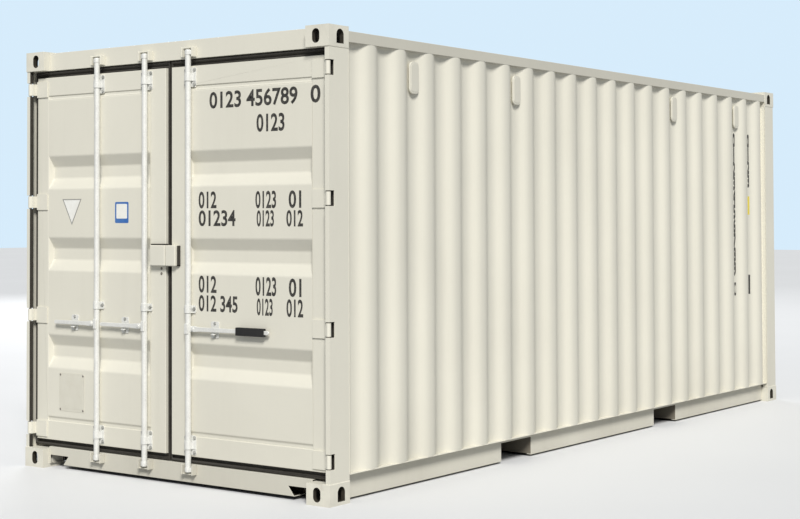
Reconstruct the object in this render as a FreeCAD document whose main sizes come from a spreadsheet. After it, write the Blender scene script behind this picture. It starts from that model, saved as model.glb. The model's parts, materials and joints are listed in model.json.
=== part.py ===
"""Twenty-foot dry freight container with two hinged doors, three locking bars and their handles.

Frame: X runs along the length with the doors at -X, Y across the width, Z up from the ground.
The origin lies under the middle of the box. Millimetres.
"""
import FreeCAD, Part
import Sketcher
import math
import os
import re

SIZES = {
    # overall box
    "overall_length": 6058, "overall_width": 2438, "overall_height": 2591,
    # cast corner fittings and the holes in them
    "fitting_length": 178, "fitting_width": 162, "fitting_height": 118,
    "fitting_wall": 28, "fitting_inner_wall": 11,
    "slot_length": 124.5, "slot_width": 63.5,
    "slot_from_end": 102.5, "slot_from_side": 89.5,
    "end_hole_width": 51, "end_hole_height": 79.5, "end_hole_from_side": 89,
    "side_hole_width": 63.5, "side_hole_height": 79.5, "side_hole_from_end": 101.5,
    # pressed sheet walls
    "wall_inset": 4, "wall_sheet": 2, "wall_depth": 36, "wall_pitch": 282, "wall_shift": 45,
    "wall_outer_face": 72, "wall_inner_face": 70,
    "front_pitch": 250, "front_depth": 45, "front_outer_face": 110, "front_inner_face": 104,
    # roof sheet
    "roof_pitch": 209, "roof_depth": 18, "roof_outer_face": 91, "roof_inner_face": 91,
    "roof_sheet": 2, "roof_rim": 100, "roof_edge_inset": 10,
    # long rails
    "top_rail": 60, "top_rail_wall": 4, "top_rail_step": 84,
    "bottom_rail_top": 155, "bottom_rail_underside": 12, "bottom_rail_recess": 60,
    "bottom_rail_plate": 5, "bottom_rail_foot": 30,
    # posts
    "post_inset": 3, "post_plate": 6, "post_channel_plate": 12,
    "opening_inset": 49, "post_nose_depth": 28, "post_nose_width": 28, "post_nose_inset": 5,
    "post_lap": 4,
    # door header and sill
    "header_setback": 53, "header_drop": 33, "header_step": 8, "sill_rise": 10,
    "beam_depth": 116, "beam_wall": 4, "sill_underside": 22,
    "sill_notch_width": 160, "sill_notch_height": 55, "sill_notch_slope": 45,
    "sill_notch_from_fitting": 12,
    "stop_plate": 12,
    # floor
    "floor_rise": 40, "floor_board": 28, "floor_gap": 3, "board_length": 1160,
    "crossmember_depth": 122, "crossmember_flange": 45,
    "crossmember_plate": 4, "crossmember_pitch": 300,
    "fork_centres": 2100, "fork_width": 360, "fork_plate": 6, "fork_height": 115,
    # door leaves
    "door_setback": 49, "leaf_thickness": 50, "leaf_gap": 24, "leaf_side_gap": 54, "seam_shift": 20,
    "leaf_bottom_gap": 44, "leaf_top_gap": 43, "outer_stile": 100, "inner_stile": 125,
    "top_member": 115, "bottom_member": 118, "leaf_wall": 4,
    "door_sheet": 3, "sheet_edge_setback": 6, "sheet_edge": 20, "recess_depth": 36,
    "recess_slope": 68, "recess_floor": 70, "recess_end_slope": 22, "recess_margin": 4,
    "recess_high_drop": 493, "recess_middle_drop": 1000, "recess_low_drop": 1604,
    # gasket
    "gasket_setback": 14, "gasket_seam_gap": 6, "gasket_side_gap": 20, "gasket_gap": 3,
    "gasket_back": 5, "stop_gap": 0.3,
    # hinges
    "hinge_inset": 19, "hinge_from_side": 20, "hinge_pin_radius": 8, "hinge_pin_gap": 0.3,
    "knuckle_radius": 14, "knuckle_height": 72, "blade_height": 100, "blade_plate": 8,
    "blade_reach": 130,
    "hinge_slot": 84, "hinge_slot_depth": 48, "hinge_pin_hold": 30,
    "hinge_above_edge": 66, "hinge_below_edge": 72,
    # locking bars
    "bar_radius": 17, "bar_inset": 27, "bar_over_sill": 44, "bar_over_header": 51,
    "left_outer_bar": 604, "left_inner_bar": 197, "right_bar": 157,
    "cam_radius": 20, "cam_reach": 31, "cam_height": 26, "cam_from_end": 4,
    "cam_nose_reach": 28.5, "cam_nose_plate": 24,
    "keeper_gap": 6, "keeper_plate": 8, "keeper_end_gap": 6, "keeper_height": 58,
    "keeper_depth": 42, "keeper_cap_depth": 29,
    "bracket_gap": 0.3, "bracket_half_width": 24, "bracket_height": 44, "bracket_plate": 4,
    "bracket_cheek": 5,
    "bracket_plate_half_width": 46, "bracket_plate_height": 112,
    "bracket_above_edge": 68, "bracket_below_edge": 66, "bracket_above_handle": 113,
    # handles
    "handle_level": 909, "handle_plate": 9, "handle_height": 34, "handle_reach": 372,
    "right_handle_reach": 618, "pivot_from_bar": 44, "pivot_radius": 8, "pivot_gap": 0.3,
    "hub_height": 60, "hub_half_width": 13, "hub_plate": 8, "hub_front": 5, "hub_past_pivot": 18,
    "handle_gap": 0.3, "pivot_end": 4, "pivot_head_rim": 5, "pivot_head_height": 6,
    "tip_ease": 0.01,
    "grip_start": 378, "grip_length": 208, "grip_height": 46, "grip_plate": 22,
    "retainer_half_width": 30, "retainer_plate": 5, "retainer_shelf": 6, "retainer_gap": 5,
    "retainer_reach": 30, "retainer_height": 96,
    "left_outer_retainer": 816, "left_inner_retainer": 378, "right_retainer": 351,
    # lock cover over the seam
    "lock_box_bottom": 1268, "lock_box_top": 1397, "lock_box_depth": 34, "lock_box_plate": 4,
    "lock_box_left": 152, "lock_box_right": 76, "lock_box_seam": 8,
    # ventilators
    "vent_width": 90, "vent_drop": 245, "vent_height": 186, "vent_depth": 14, "vent_set_in": 8,
    "vent_neck": 56, "vent_neck_margin": 20, "vent_first": 4, "vent_second": 8,
    # how far a cutting tool runs past the face that it opens
    "cut_past": 1,
}
# places that follow from the sizes
PLACES = {
    "slot_spacing_length": "overall_length - 2 * slot_from_end",
    "slot_spacing_width": "overall_width - 2 * slot_from_side",
    "opening_width": "overall_width - 2 * opening_inset",
    "top_rail_underside": "overall_height - top_rail_step",
    "header_underside": "overall_height - fitting_height",
    "header_top": "overall_height - header_step",
    "sill_top": "fitting_height + sill_rise",
    "floor_top": "sill_top + floor_rise",
    "leaf_outer_edge": "overall_width / 2 - leaf_side_gap",
    "leaf_bottom": "sill_top + leaf_bottom_gap",
    "leaf_top": "header_underside - leaf_top_gap",
    "recess_top_high": "leaf_top - recess_high_drop",
    "recess_top_middle": "leaf_top - recess_middle_drop",
    "recess_top_low": "leaf_top - recess_low_drop",
    "gasket_outer_edge": "overall_width / 2 - gasket_side_gap",
    "hinge_low": "leaf_bottom + hinge_above_edge",
    "hinge_high": "leaf_top - hinge_below_edge",
    "hinge_lower_middle": "(2 * hinge_low + hinge_high) / 3",
    "hinge_upper_middle": "(hinge_low + 2 * hinge_high) / 3",
    "bar_bottom": "sill_top - bar_over_sill",
    "bar_top": "header_underside + bar_over_header",
    "bracket_low": "leaf_bottom + bracket_above_edge",
    "bracket_middle": "handle_level + bracket_above_handle",
    "bracket_high": "leaf_top - bracket_below_edge",
    "vent_bottom": "top_rail_underside - vent_drop",
}
NAME = r"[a-z][a-z_]+"
LEFT = 1
RIGHT = -1
NEAR = 0.01  # places closer than this count as one

document = FreeCAD.newDocument("container")
sheet = document.addObject("Spreadsheet::Sheet", "sizes")
for row, (alias, number) in enumerate(SIZES.items(), start=1):
    sheet.set("A%d" % row, alias)
    sheet.set("B%d" % row, str(number))
    sheet.setAlias("B%d" % row, alias)
document.recompute()
nodes = []


def spelled(text):
    """Write a sum with each named place put as the sizes that it follows from."""
    def spell(word):
        name = word.group()
        return "(%s)" % spelled(PLACES[name]) if name in PLACES else name
    return re.sub(NAME, spell, text)


def bind(text):
    """Write a sum of named sizes and places as an expression that reads the sheet."""
    return re.sub(NAME, lambda word: "sizes." + word.group(), spelled(text))


def value(text):
    """The number that a sum of named sizes and places comes to now."""
    return float(sheet.evalExpression(spelled(text)))


def keep(piece, label):
    """Name a finished sub-part. Its label is the name of its file."""
    piece.Label = label
    nodes.append(piece)
    return piece


def mirrored(span, side):
    """A span across the width, on the left side as written or turned over to the right."""
    low, high = span
    return span if side == LEFT else ("-(%s)" % high, "-(%s)" % low)


def box(name, along, across, upright):
    """A block between three pairs of sums."""
    piece = document.addObject("Part::Box", name)
    for prop, axis, (low, high) in zip(("Length", "Width", "Height"), "xyz", (along, across, upright)):
        piece.setExpression(prop, bind("(%s) - (%s)" % (high, low)))
        piece.setExpression("Placement.Base." + axis, bind(low))
    return piece


def cylinder(name, radius, low, high, centre, axis="z"):
    """A round bar along an axis. The centre gives its other two coordinates, in X, Y, Z order."""
    piece = document.addObject("Part::Cylinder", name)
    turns = {"x": FreeCAD.Rotation(FreeCAD.Vector(0, 1, 0), 90),
             "y": FreeCAD.Rotation(FreeCAD.Vector(1, 0, 0), -90),
             "z": FreeCAD.Rotation()}
    piece.Placement.Rotation = turns[axis]
    piece.setExpression("Radius", bind(radius))
    piece.setExpression("Height", bind("(%s) - (%s)" % (high, low)))
    piece.setExpression("Placement.Base." + axis, bind(low))
    for other, place in zip([a for a in "xyz" if a != axis], centre):
        piece.setExpression("Placement.Base." + other, bind(place))
    return piece


def fuse(name, *pieces):
    joined = document.addObject("Part::MultiFuse", name)
    joined.Shapes = list(pieces)
    joined.Refine = True
    return joined


def cut(name, base, *tools):
    tool = tools[0]
    if len(tools) > 1:
        tool = document.addObject("Part::Compound", name + "_tools")
        tool.Links = list(tools)
    result = document.addObject("Part::Cut", name)
    result.Base = base
    result.Tool = tool
    return result


def group(name, *pieces):
    together = document.addObject("Part::Compound", name)
    together.Links = list(pieces)
    return together


def mirror(name, source, normal):
    """A copy turned over the middle plane that the normal points out of."""
    copy = document.addObject("Part::Mirroring", name)
    copy.Source = source
    copy.Base = (0, 0, 0)
    copy.Normal = normal
    return copy


def profile(name, plane, loops, length, both_ways):
    """A body padded from outlines of straight lines, each corner placed by two sums."""
    body = document.addObject("PartDesign::Body", name)
    sketch = body.newObject("Sketcher::SketchObject", name + "_outline")
    base = [feature for feature in body.Origin.OriginFeatures if feature.Role == plane][0]
    sketch.AttachmentSupport = [(base, "")]
    sketch.MapMode = "FlatFace"
    for corners in loops:
        points = [FreeCAD.Vector(value(a), value(b), 0) for a, b in corners]
        first = sketch.GeometryCount
        count = len(points)
        for index, point in enumerate(points):
            sketch.addGeometry(Part.LineSegment(point, points[(index + 1) % count]), False)
        for index, (across, upright) in enumerate(corners):
            line = first + index
            following = first + (index + 1) % count
            sketch.addConstraint(Sketcher.Constraint("Coincident", line, 2, following, 1))
            for kind, text in (("DistanceX", across), ("DistanceY", upright)):
                number = sketch.addConstraint(Sketcher.Constraint(kind, -1, 1, line, 1, value(text)))
                sketch.setExpression("Constraints[%d]" % number, bind(text))
    pad = body.newObject("PartDesign::Pad", name + "_pad")
    pad.Profile = sketch
    pad.setExpression("Length", bind(length))
    if both_ways:
        pad.SideType = "Symmetric"
    return body


def folded(pitch, outer, inner, depth, reach, start=0):
    """Corners of a pressed sheet's line: (place along the sheet, how far it is set in).

    One set-in face has its middle at the start.
    """
    slope = (pitch - outer - inner) / 2
    waves = int(math.ceil((reach + abs(start)) / pitch)) + 1
    line = []
    for wave in range(-waves, waves + 1):
        centre = start + wave * pitch
        line += [(centre - inner / 2 - slope, 0), (centre - inner / 2, depth),
                 (centre + inner / 2, depth), (centre + inner / 2 + slope, 0)]
    clipped = []
    for (start, set_in), (end, next_in) in zip(line, line[1:]):
        low, high = max(start, -reach), min(end, reach)
        if high - low < NEAR:
            continue
        share = (next_in - set_in) / (end - start)
        clipped.append((low, set_in + share * (low - start)))
        clipped.append((high, set_in + share * (high - start)))
    outline = [clipped[0]]
    for place in clipped[1:]:
        if abs(place[0] - outline[-1][0]) > NEAR:
            outline.append(place)
    return outline


def solid_from(corners, push):
    """A straight-sided solid: an outline pushed along a vector."""
    wire = Part.makePolygon([FreeCAD.Vector(*c) for c in corners + corners[:1]])
    return Part.Face(wire).extrude(FreeCAD.Vector(*push))


def rectangle(along, low_y, high_y, low_z, high_z):
    """A closed outline that faces along the length."""
    corners = [(low_y, low_z), (high_y, low_z), (high_y, high_z), (low_y, high_z), (low_y, low_z)]
    return Part.makePolygon([FreeCAD.Vector(along, y, z) for y, z in corners])


def sheet_piece(name, shape):
    piece = document.addObject("Part::Feature", name)
    piece.Shape = shape
    piece.Placement = FreeCAD.Placement()
    return piece


HALF_LENGTH = "overall_length / 2"
HALF_WIDTH = "overall_width / 2"
BAY_END = "overall_length / 2 - fitting_length"
BEAM_END = "overall_width / 2 - fitting_width"
DOOR_FACE = "-overall_length / 2 + door_setback"
LEAF_BACK = "-overall_length / 2 + door_setback + leaf_thickness"
STOP_FACE = LEAF_BACK + " + gasket_back + stop_gap"
BEAM_FACE = "-overall_length / 2 + header_setback"
POST_SIDE = "overall_width / 2 - post_inset"
HINGE_ALONG = "-overall_length / 2 + hinge_inset"
HINGE_ACROSS = "overall_width / 2 - hinge_from_side"
BAR_ALONG = "-overall_length / 2 + bar_inset"
RAIL_WEB = "overall_width / 2 - bottom_rail_recess"
FLOOR_UNDERSIDE = "floor_top - floor_board"
HINGE_LEVELS = ("hinge_low", "hinge_lower_middle", "hinge_upper_middle", "hinge_high")
BRACKET_LEVELS = ("bracket_low", "bracket_middle", "bracket_high")


def long_hole(name, length, width, centre_along, centre_across, low, high):
    """A hole with round ends through a flat wall, long side along X."""
    flat = "(%s) - (%s)" % (length, width)
    block = box(name + "_flat",
                ("%s - (%s) / 2" % (centre_along, flat), "%s + (%s) / 2" % (centre_along, flat)),
                ("%s - (%s) / 2" % (centre_across, width), "%s + (%s) / 2" % (centre_across, width)),
                (low, high))
    ends = [cylinder("%s_end_%d" % (name, number), "(%s) / 2" % width, low, high,
                     ("%s %s (%s) / 2" % (centre_along, sign, flat), centre_across))
            for number, sign in enumerate("-+")]
    return fuse(name, block, *ends)


def corner_fitting(name, low, high, outer_low, outer_high):
    """A hollow cast block with a slot, an end hole and a side hole, at the +X +Y corner."""
    block = box(name + "_block", (BAY_END, HALF_LENGTH), (BEAM_END, HALF_WIDTH), (low, high))
    middle = "(%s + %s) / 2" % (low, high)
    hollow = box(name + "_hollow",
                 (BAY_END + " + fitting_inner_wall", HALF_LENGTH + " - fitting_wall"),
                 (BEAM_END + " + fitting_inner_wall", HALF_WIDTH + " - fitting_wall"),
                 (low + " + fitting_wall / 2", high + " - fitting_wall / 2"))
    slot = long_hole(name + "_slot", "slot_length", "slot_width", "slot_spacing_length / 2",
                     "slot_spacing_width / 2", outer_low, outer_high)
    end_across = "overall_width / 2 - end_hole_from_side"
    end_flat = "end_hole_height / 2 - end_hole_width / 2"
    end_span = (HALF_LENGTH + " - fitting_wall - cut_past", HALF_LENGTH + " + cut_past")
    end_block = box(name + "_end_flat", end_span,
                    (end_across + " - end_hole_width / 2", end_across + " + end_hole_width / 2"),
                    ("%s - (%s)" % (middle, end_flat), "%s + (%s)" % (middle, end_flat)))
    end_rounds = [cylinder("%s_end_round_%d" % (name, number), "end_hole_width / 2", *end_span,
                           (end_across, "%s %s (%s)" % (middle, sign, end_flat)), axis="x")
                  for number, sign in enumerate("-+")]
    side_along = HALF_LENGTH + " - side_hole_from_end"
    side_span = (HALF_WIDTH + " - fitting_wall - cut_past", HALF_WIDTH + " + cut_past")
    side_top = middle + " + side_hole_height / 2 - side_hole_width / 2"
    side_round = cylinder(name + "_side_round", "side_hole_width / 2", *side_span,
                          (side_along, side_top), axis="y")
    side_block = box(name + "_side_flat",
                     (side_along + " - side_hole_width / 2", side_along + " + side_hole_width / 2"),
                     side_span, (middle + " - side_hole_height / 2", side_top))
    return cut(name, block, hollow, slot, end_block, *end_rounds, side_round, side_block)


def four_corners(label, fitting):
    across = mirror(label + "_across", fitting, (0, 1, 0))
    along = mirror(label + "_along", fitting, (1, 0, 0))
    opposite = mirror(label + "_opposite", across, (1, 0, 0))
    return keep(group(label, fitting, across, along, opposite), label)


def both_sides(label, left_piece):
    return keep(group(label, left_piece, mirror(label + "_right", left_piece, (0, 1, 0))), label)


def corner_fittings():
    top = "overall_height"
    lower = corner_fitting("lower_fitting", "0", "fitting_height", "-cut_past", "fitting_wall")
    upper = corner_fitting("upper_fitting", top + " - fitting_height", top,
                           top + " - fitting_wall", top + " + cut_past")
    four_corners("bottom_corner_fittings", lower)
    four_corners("top_corner_fittings", upper)


def hinge_tools(name, radius, reach):
    """Round bars on the left hinge line, one at each hinge."""
    return [cylinder("%s_%d" % (name, number), radius,
                     "%s - (%s)" % (level, reach), "%s + (%s)" % (level, reach),
                     (HINGE_ALONG, HINGE_ACROSS))
            for number, level in enumerate(HINGE_LEVELS)]


def door_posts():
    """J-shaped outer plate with a box behind it, and a thick nose that carries the hinge pins."""
    front = "-overall_length / 2 + post_nose_inset"
    back = "-(%s)" % BAY_END
    inside = "opening_width / 2"
    stop = STOP_FACE
    nose_back = front + " + post_nose_depth"
    nose_inside = POST_SIDE + " - post_nose_width"
    outer = [(front, POST_SIDE), (front, nose_inside), (nose_back, nose_inside),
             (nose_back, POST_SIDE + " - post_plate"), (stop, POST_SIDE + " - post_plate"),
             (stop, inside), (back, inside), (back, POST_SIDE)]
    hollow = [(stop + " + post_channel_plate", POST_SIDE + " - post_plate"),
              (stop + " + post_channel_plate", inside + " + post_channel_plate"),
              (back + " - post_plate", inside + " + post_channel_plate"),
              (back + " - post_plate", POST_SIDE + " - post_plate")]
    post = profile("left_door_post_section", "XY_Plane", [outer, hollow],
                   "overall_height - 2 * fitting_height", False)
    post.setExpression("Placement.Base.z", bind("fitting_height"))
    slots = [box("hinge_slot_%d" % number, (front + " - cut_past", front + " + hinge_slot_depth"),
                 (nose_inside + " - cut_past", POST_SIDE + " + cut_past"),
                 (level + " - hinge_slot / 2", level + " + hinge_slot / 2"))
             for number, level in enumerate(HINGE_LEVELS)]
    holes = hinge_tools("pin_hole", "hinge_pin_radius", "hinge_slot / 2 + hinge_pin_hold")
    post_with_slots = cut("left_door_post", post, *slots, *holes)
    both_sides("door_corner_posts", post_with_slots)
    pins = group("left_hinge_pins", *hinge_tools("pin", "hinge_pin_radius",
                                                 "hinge_slot / 2 + hinge_pin_hold"))
    both_sides("hinge_pins", pins)


def front_posts():
    face = "overall_length / 2 - post_inset"
    corners = [(BAY_END, POST_SIDE), (face, POST_SIDE), (face, BEAM_END),
               (face + " - front_depth - wall_sheet", BEAM_END),
               (face + " - front_depth - wall_sheet", BEAM_END + " + post_plate"),
               (face + " - post_plate", BEAM_END + " + post_plate"),
               (face + " - post_plate", POST_SIDE + " - post_plate"),
               (BAY_END + " + post_plate", POST_SIDE + " - post_plate"),
               (BAY_END + " + post_plate", POST_SIDE + " - wall_depth - wall_sheet - post_lap"),
               (BAY_END, POST_SIDE + " - wall_depth - wall_sheet - post_lap")]
    post = profile("left_front_post", "XY_Plane", [corners],
                   "overall_height - 2 * fitting_height", False)
    post.setExpression("Placement.Base.z", bind("fitting_height"))
    both_sides("front_corner_posts", post)


def beam(name, low_x, high_x, low_z, high_z, length, wall):
    """A square tube across the width."""
    outer = [(low_x, low_z), (high_x, low_z), (high_x, high_z), (low_x, high_z)]
    inner = [("%s + %s" % (low_x, wall), "%s + %s" % (low_z, wall)),
             ("%s - %s" % (high_x, wall), "%s + %s" % (low_z, wall)),
             ("%s - %s" % (high_x, wall), "%s - %s" % (high_z, wall)),
             ("%s + %s" % (low_x, wall), "%s - %s" % (high_z, wall))]
    return profile(name, "XZ_Plane", [outer, inner], length, True)


def door_beams():
    back = BEAM_FACE + " + beam_depth"
    header = beam("header_tube", BEAM_FACE, back, "header_underside", "header_top",
                  "2 * (%s)" % BEAM_END, "beam_wall")
    drop = box("header_stop", (STOP_FACE, STOP_FACE + " + stop_plate"),
               ("-opening_width / 2", "opening_width / 2"),
               ("header_underside - header_drop", "header_underside"))
    keep(fuse("door_header", header, drop), "door_header")
    sill = beam("sill_tube", BEAM_FACE, back, "sill_underside", "sill_top",
                "2 * (%s)" % BEAM_END, "beam_wall")
    near = BEAM_END + " - sill_notch_from_fitting"
    far = near + " - sill_notch_width"
    ceiling = "sill_underside + sill_notch_height"
    mouth = "sill_underside - cut_past"
    notch = profile("sill_notch", "YZ_Plane",
                    [[(far + " + sill_notch_slope", mouth), (near, mouth),
                      (near, ceiling), (far, ceiling)]], "3 * beam_depth", True)
    notch.setExpression("Placement.Base.x", bind(BEAM_FACE))
    upstand = box("sill_stop", (STOP_FACE, back), ("-opening_width / 2", "opening_width / 2"),
                  ("sill_top", "floor_top"))
    notched = cut("sill_with_notches", sill, notch, mirror("sill_notch_right", notch, (0, 1, 0)))
    keep(fuse("door_sill", notched, upstand), "door_sill")


def front_beams():
    face = "overall_length / 2 - post_inset"
    width = "2 * (%s)" % BEAM_END
    keep(beam("front_top_tube", face + " - top_rail", face, "top_rail_underside", "header_top",
              width, "top_rail_wall"), "front_top_rail")
    keep(beam("front_bottom_tube", face + " - top_rail", face, "bottom_rail_underside",
              "bottom_rail_top", width, "top_rail_wall"), "front_bottom_rail")


def side_rails():
    outer = [(POST_SIDE + " - top_rail", "top_rail_underside"), (POST_SIDE, "top_rail_underside"),
             (POST_SIDE, "top_rail_underside + top_rail"),
             (POST_SIDE + " - top_rail", "top_rail_underside + top_rail")]
    inner = [(POST_SIDE + " - top_rail + top_rail_wall", "top_rail_underside + top_rail_wall"),
             (POST_SIDE + " - top_rail_wall", "top_rail_underside + top_rail_wall"),
             (POST_SIDE + " - top_rail_wall", "top_rail_underside + top_rail - top_rail_wall"),
             (POST_SIDE + " - top_rail + top_rail_wall",
              "top_rail_underside + top_rail - top_rail_wall")]
    length = "2 * (%s)" % BAY_END
    both_sides("side_top_rails", profile("left_top_rail", "YZ_Plane", [outer, inner], length, True))
    web = RAIL_WEB
    channel = [(web + " - bottom_rail_foot", "bottom_rail_underside"),
               (web + " + bottom_rail_plate", "bottom_rail_underside"),
               (web + " + bottom_rail_plate", "bottom_rail_top - bottom_rail_plate"),
               (HALF_WIDTH + " - wall_inset", "bottom_rail_top - bottom_rail_plate"),
               (HALF_WIDTH + " - wall_inset", "bottom_rail_top"), (web, "bottom_rail_top"),
               (web, "bottom_rail_underside + bottom_rail_plate"),
               (web + " - bottom_rail_foot", "bottom_rail_underside + bottom_rail_plate")]
    rail = profile("left_bottom_rail", "YZ_Plane", [channel], length, True)
    openings = [box("fork_mouth_" + name,
                    (centre + " - fork_width / 2", centre + " + fork_width / 2"),
                    (web + " - bottom_rail_foot - cut_past", HALF_WIDTH),
                    ("bottom_rail_underside - cut_past", "bottom_rail_underside + fork_height"))
                for name, centre in (("front", "fork_centres / 2"), ("rear", "-fork_centres / 2"))]
    both_sides("side_bottom_rails", cut("left_bottom_rail_cut", rail, *openings))


def side_walls():
    """Pressed sheet with upright folds."""
    line = folded(value("wall_pitch"), value("wall_outer_face"), value("wall_inner_face"),
                  value("wall_depth"), value(BAY_END), value("wall_shift"))
    face = value(HALF_WIDTH + " - wall_inset")
    low = value("bottom_rail_top")
    outer = [(x, face - set_in, low) for x, set_in in line]
    inner = [(x, y - value("wall_sheet"), low) for x, y, _ in reversed(outer)]
    left = sheet_piece("left_wall_sheet", solid_from(outer + inner,
                                                     (0, 0, value("top_rail_underside") - low)))
    keep(left, "left_side_wall")
    keep(mirror("right_wall_sheet", left, (0, 1, 0)), "right_side_wall")


def front_wall():
    line = folded(value("front_pitch"), value("front_outer_face"), value("front_inner_face"),
                  value("front_depth"), value(BEAM_END), value("front_pitch / 2"))
    face = value("overall_length / 2 - post_inset")
    low = value("bottom_rail_top")
    outer = [(face - set_in, y, low) for y, set_in in line]
    inner = [(x - value("wall_sheet"), y, low) for x, y, _ in reversed(outer)]
    rise = value("top_rail_underside") - low
    keep(sheet_piece("front_wall_sheet", solid_from(outer + inner, (0, 0, rise))), "front_wall")


def roof():
    """Sheet with folds across the width, flat rims on the top rails and capped fold ends."""
    reach = value(BAY_END)
    line = folded(value("roof_pitch"), value("roof_outer_face"), value("roof_inner_face"),
                  value("roof_depth"), reach)
    thick = value("roof_sheet")
    base = value("top_rail_underside + top_rail")
    crest = base + value("roof_depth")
    rim = value(POST_SIDE + " - roof_rim")
    outer_edge = value(POST_SIDE + " - roof_edge_inset")
    top = [(x, -rim, crest - set_in + thick) for x, set_in in line]
    under = [(x, y, z - thick) for x, y, z in reversed(top)]
    folds = solid_from(top + under, (0, 2 * rim, 0))
    base_line = [(reach, -rim, base), (-reach, -rim, base)]
    cap = solid_from(top + base_line, (0, thick, 0))
    other_cap = cap.copy()
    other_cap.translate(FreeCAD.Vector(0, 2 * rim - thick, 0))
    flat = Part.makeBox(2 * reach, outer_edge - rim, thick, FreeCAD.Vector(-reach, rim, base))
    other_flat = Part.makeBox(2 * reach, outer_edge - rim, thick,
                              FreeCAD.Vector(-reach, -outer_edge, base))
    plate_end = value("overall_length / 2 - post_inset - top_rail")
    plate = Part.makeBox(plate_end - reach + thick, 2 * value(BEAM_END), thick,
                         FreeCAD.Vector(reach - thick, -value(BEAM_END), base))
    closed = [Part.makeBox(thick, 2 * rim, value("roof_depth") + thick,
                           FreeCAD.Vector(x, -rim, base)) for x in (-reach, reach - thick)]
    shape = folds.fuse([cap, other_cap, flat, other_flat, plate] + closed).removeSplitter()
    keep(sheet_piece("roof_sheet", shape), "roof_panel")


def floor():
    back = BEAM_FACE + " + beam_depth"
    front = "overall_length / 2 - post_inset - top_rail"
    start = value(back)
    run = value(front) - start
    rows = max(1, int(round(run / value("board_length"))))
    boards = []
    for index in range(rows):
        share = "(%s - (%s)) / %d" % (front, back, rows)
        low = "%s + %d * %s + floor_gap / 2" % (back, index, share)
        high = "%s + %d * %s - floor_gap / 2" % (back, index + 1, share)
        if index == 0:
            low = back
        board = box("floor_board_%d" % index, (low, high), ("floor_gap / 2", RAIL_WEB + " - floor_gap"),
                    (FLOOR_UNDERSIDE, "floor_top"))
        boards.append(board)
    both_sides("floor_boards", group("left_floor_boards", *boards))


def crossmembers():
    """Channels across the width, left out where the fork pockets run."""
    first = value(BEAM_FACE + " + beam_depth + crossmember_flange")
    last = value(BAY_END + " - crossmember_flange - floor_gap")
    count = max(2, int(round((last - first) / value("crossmember_pitch"))) + 1)
    pitch = (last - first) / (count - 1)
    half_pocket = value("fork_width / 2 + fork_plate + crossmember_flange")
    bars = []
    for index in range(count):
        place = first + index * pitch
        from_pocket = min(abs(place - side * value("fork_centres / 2")) for side in (-1, 1))
        if from_pocket < half_pocket:
            continue
        low = FLOOR_UNDERSIDE + " - crossmember_depth"
        across = ("-(%s)" % RAIL_WEB, RAIL_WEB)
        here = "%.3f" % place
        block = box("crossmember_%d_block" % index, (here, here + " + crossmember_flange"), across,
                    (low, FLOOR_UNDERSIDE))
        inside = box("crossmember_%d_hollow" % index,
                     (here + " + crossmember_plate", here + " + crossmember_flange + cut_past"),
                     ("-(%s) - cut_past" % RAIL_WEB, RAIL_WEB + " + cut_past"),
                     (low + " + crossmember_plate", FLOOR_UNDERSIDE + " - crossmember_plate"))
        bars.append(cut("crossmember_%d" % index, block, inside))
    keep(group("crossmember_set", *bars), "floor_crossmembers")


def fork_pockets():
    """Upside-down troughs across the width that take a truck's forks."""
    pockets = []
    for name, centre in (("front", "fork_centres / 2"), ("rear", "-fork_centres / 2")):
        low = "bottom_rail_underside + bottom_rail_plate"
        half = "fork_width / 2"
        corners = [("%s - %s - fork_plate" % (centre, half), low),
                   ("%s - %s" % (centre, half), low),
                   ("%s - %s" % (centre, half), FLOOR_UNDERSIDE + " - fork_plate"),
                   ("%s + %s" % (centre, half), FLOOR_UNDERSIDE + " - fork_plate"),
                   ("%s + %s" % (centre, half), low),
                   ("%s + %s + fork_plate" % (centre, half), low),
                   ("%s + %s + fork_plate" % (centre, half), FLOOR_UNDERSIDE),
                   ("%s - %s - fork_plate" % (centre, half), FLOOR_UNDERSIDE)]
        pockets.append(profile("fork_pocket_" + name, "XZ_Plane", [corners],
                               "2 * (%s)" % RAIL_WEB, True))
    keep(group("fork_pocket_pair", *pockets), "fork_pockets")


def ventilators():
    """Covers over the set-in folds near the top of each side wall."""
    face = HALF_WIDTH + " - wall_inset"
    covers = []
    for index, count in enumerate(("-vent_second", "-vent_first", "vent_first", "vent_second")):
        centre = "wall_shift + %s * wall_pitch" % count
        neck = box("vent_neck_%d" % index, (centre + " - vent_neck / 2", centre + " + vent_neck / 2"),
                   (face + " - wall_depth", face + " - vent_set_in - vent_depth"),
                   ("vent_bottom + vent_neck_margin",
                    "vent_bottom + vent_height - vent_neck_margin"))
        cover = box("vent_cover_%d" % index,
                    (centre + " - vent_width / 2", centre + " + vent_width / 2"),
                    (face + " - vent_set_in - vent_depth", face + " - vent_set_in"),
                    ("vent_bottom", "vent_bottom + vent_height"))
        covers.append(fuse("vent_%d" % index, neck, cover))
    both_sides("ventilators", group("left_ventilators", *covers))


def from_seam(distance, side):
    """A distance from the door seam, which lies a little to the left of the middle."""
    return distance + (" + seam_shift" if side == LEFT else " - seam_shift")


def bar_places():
    return (("left_outer", LEFT, "left_outer_bar", "handle_reach", "left_outer_retainer"),
            ("left_inner", LEFT, "left_inner_bar", "handle_reach", "left_inner_retainer"),
            ("right", RIGHT, "right_bar", "right_handle_reach", "right_retainer"))


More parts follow.
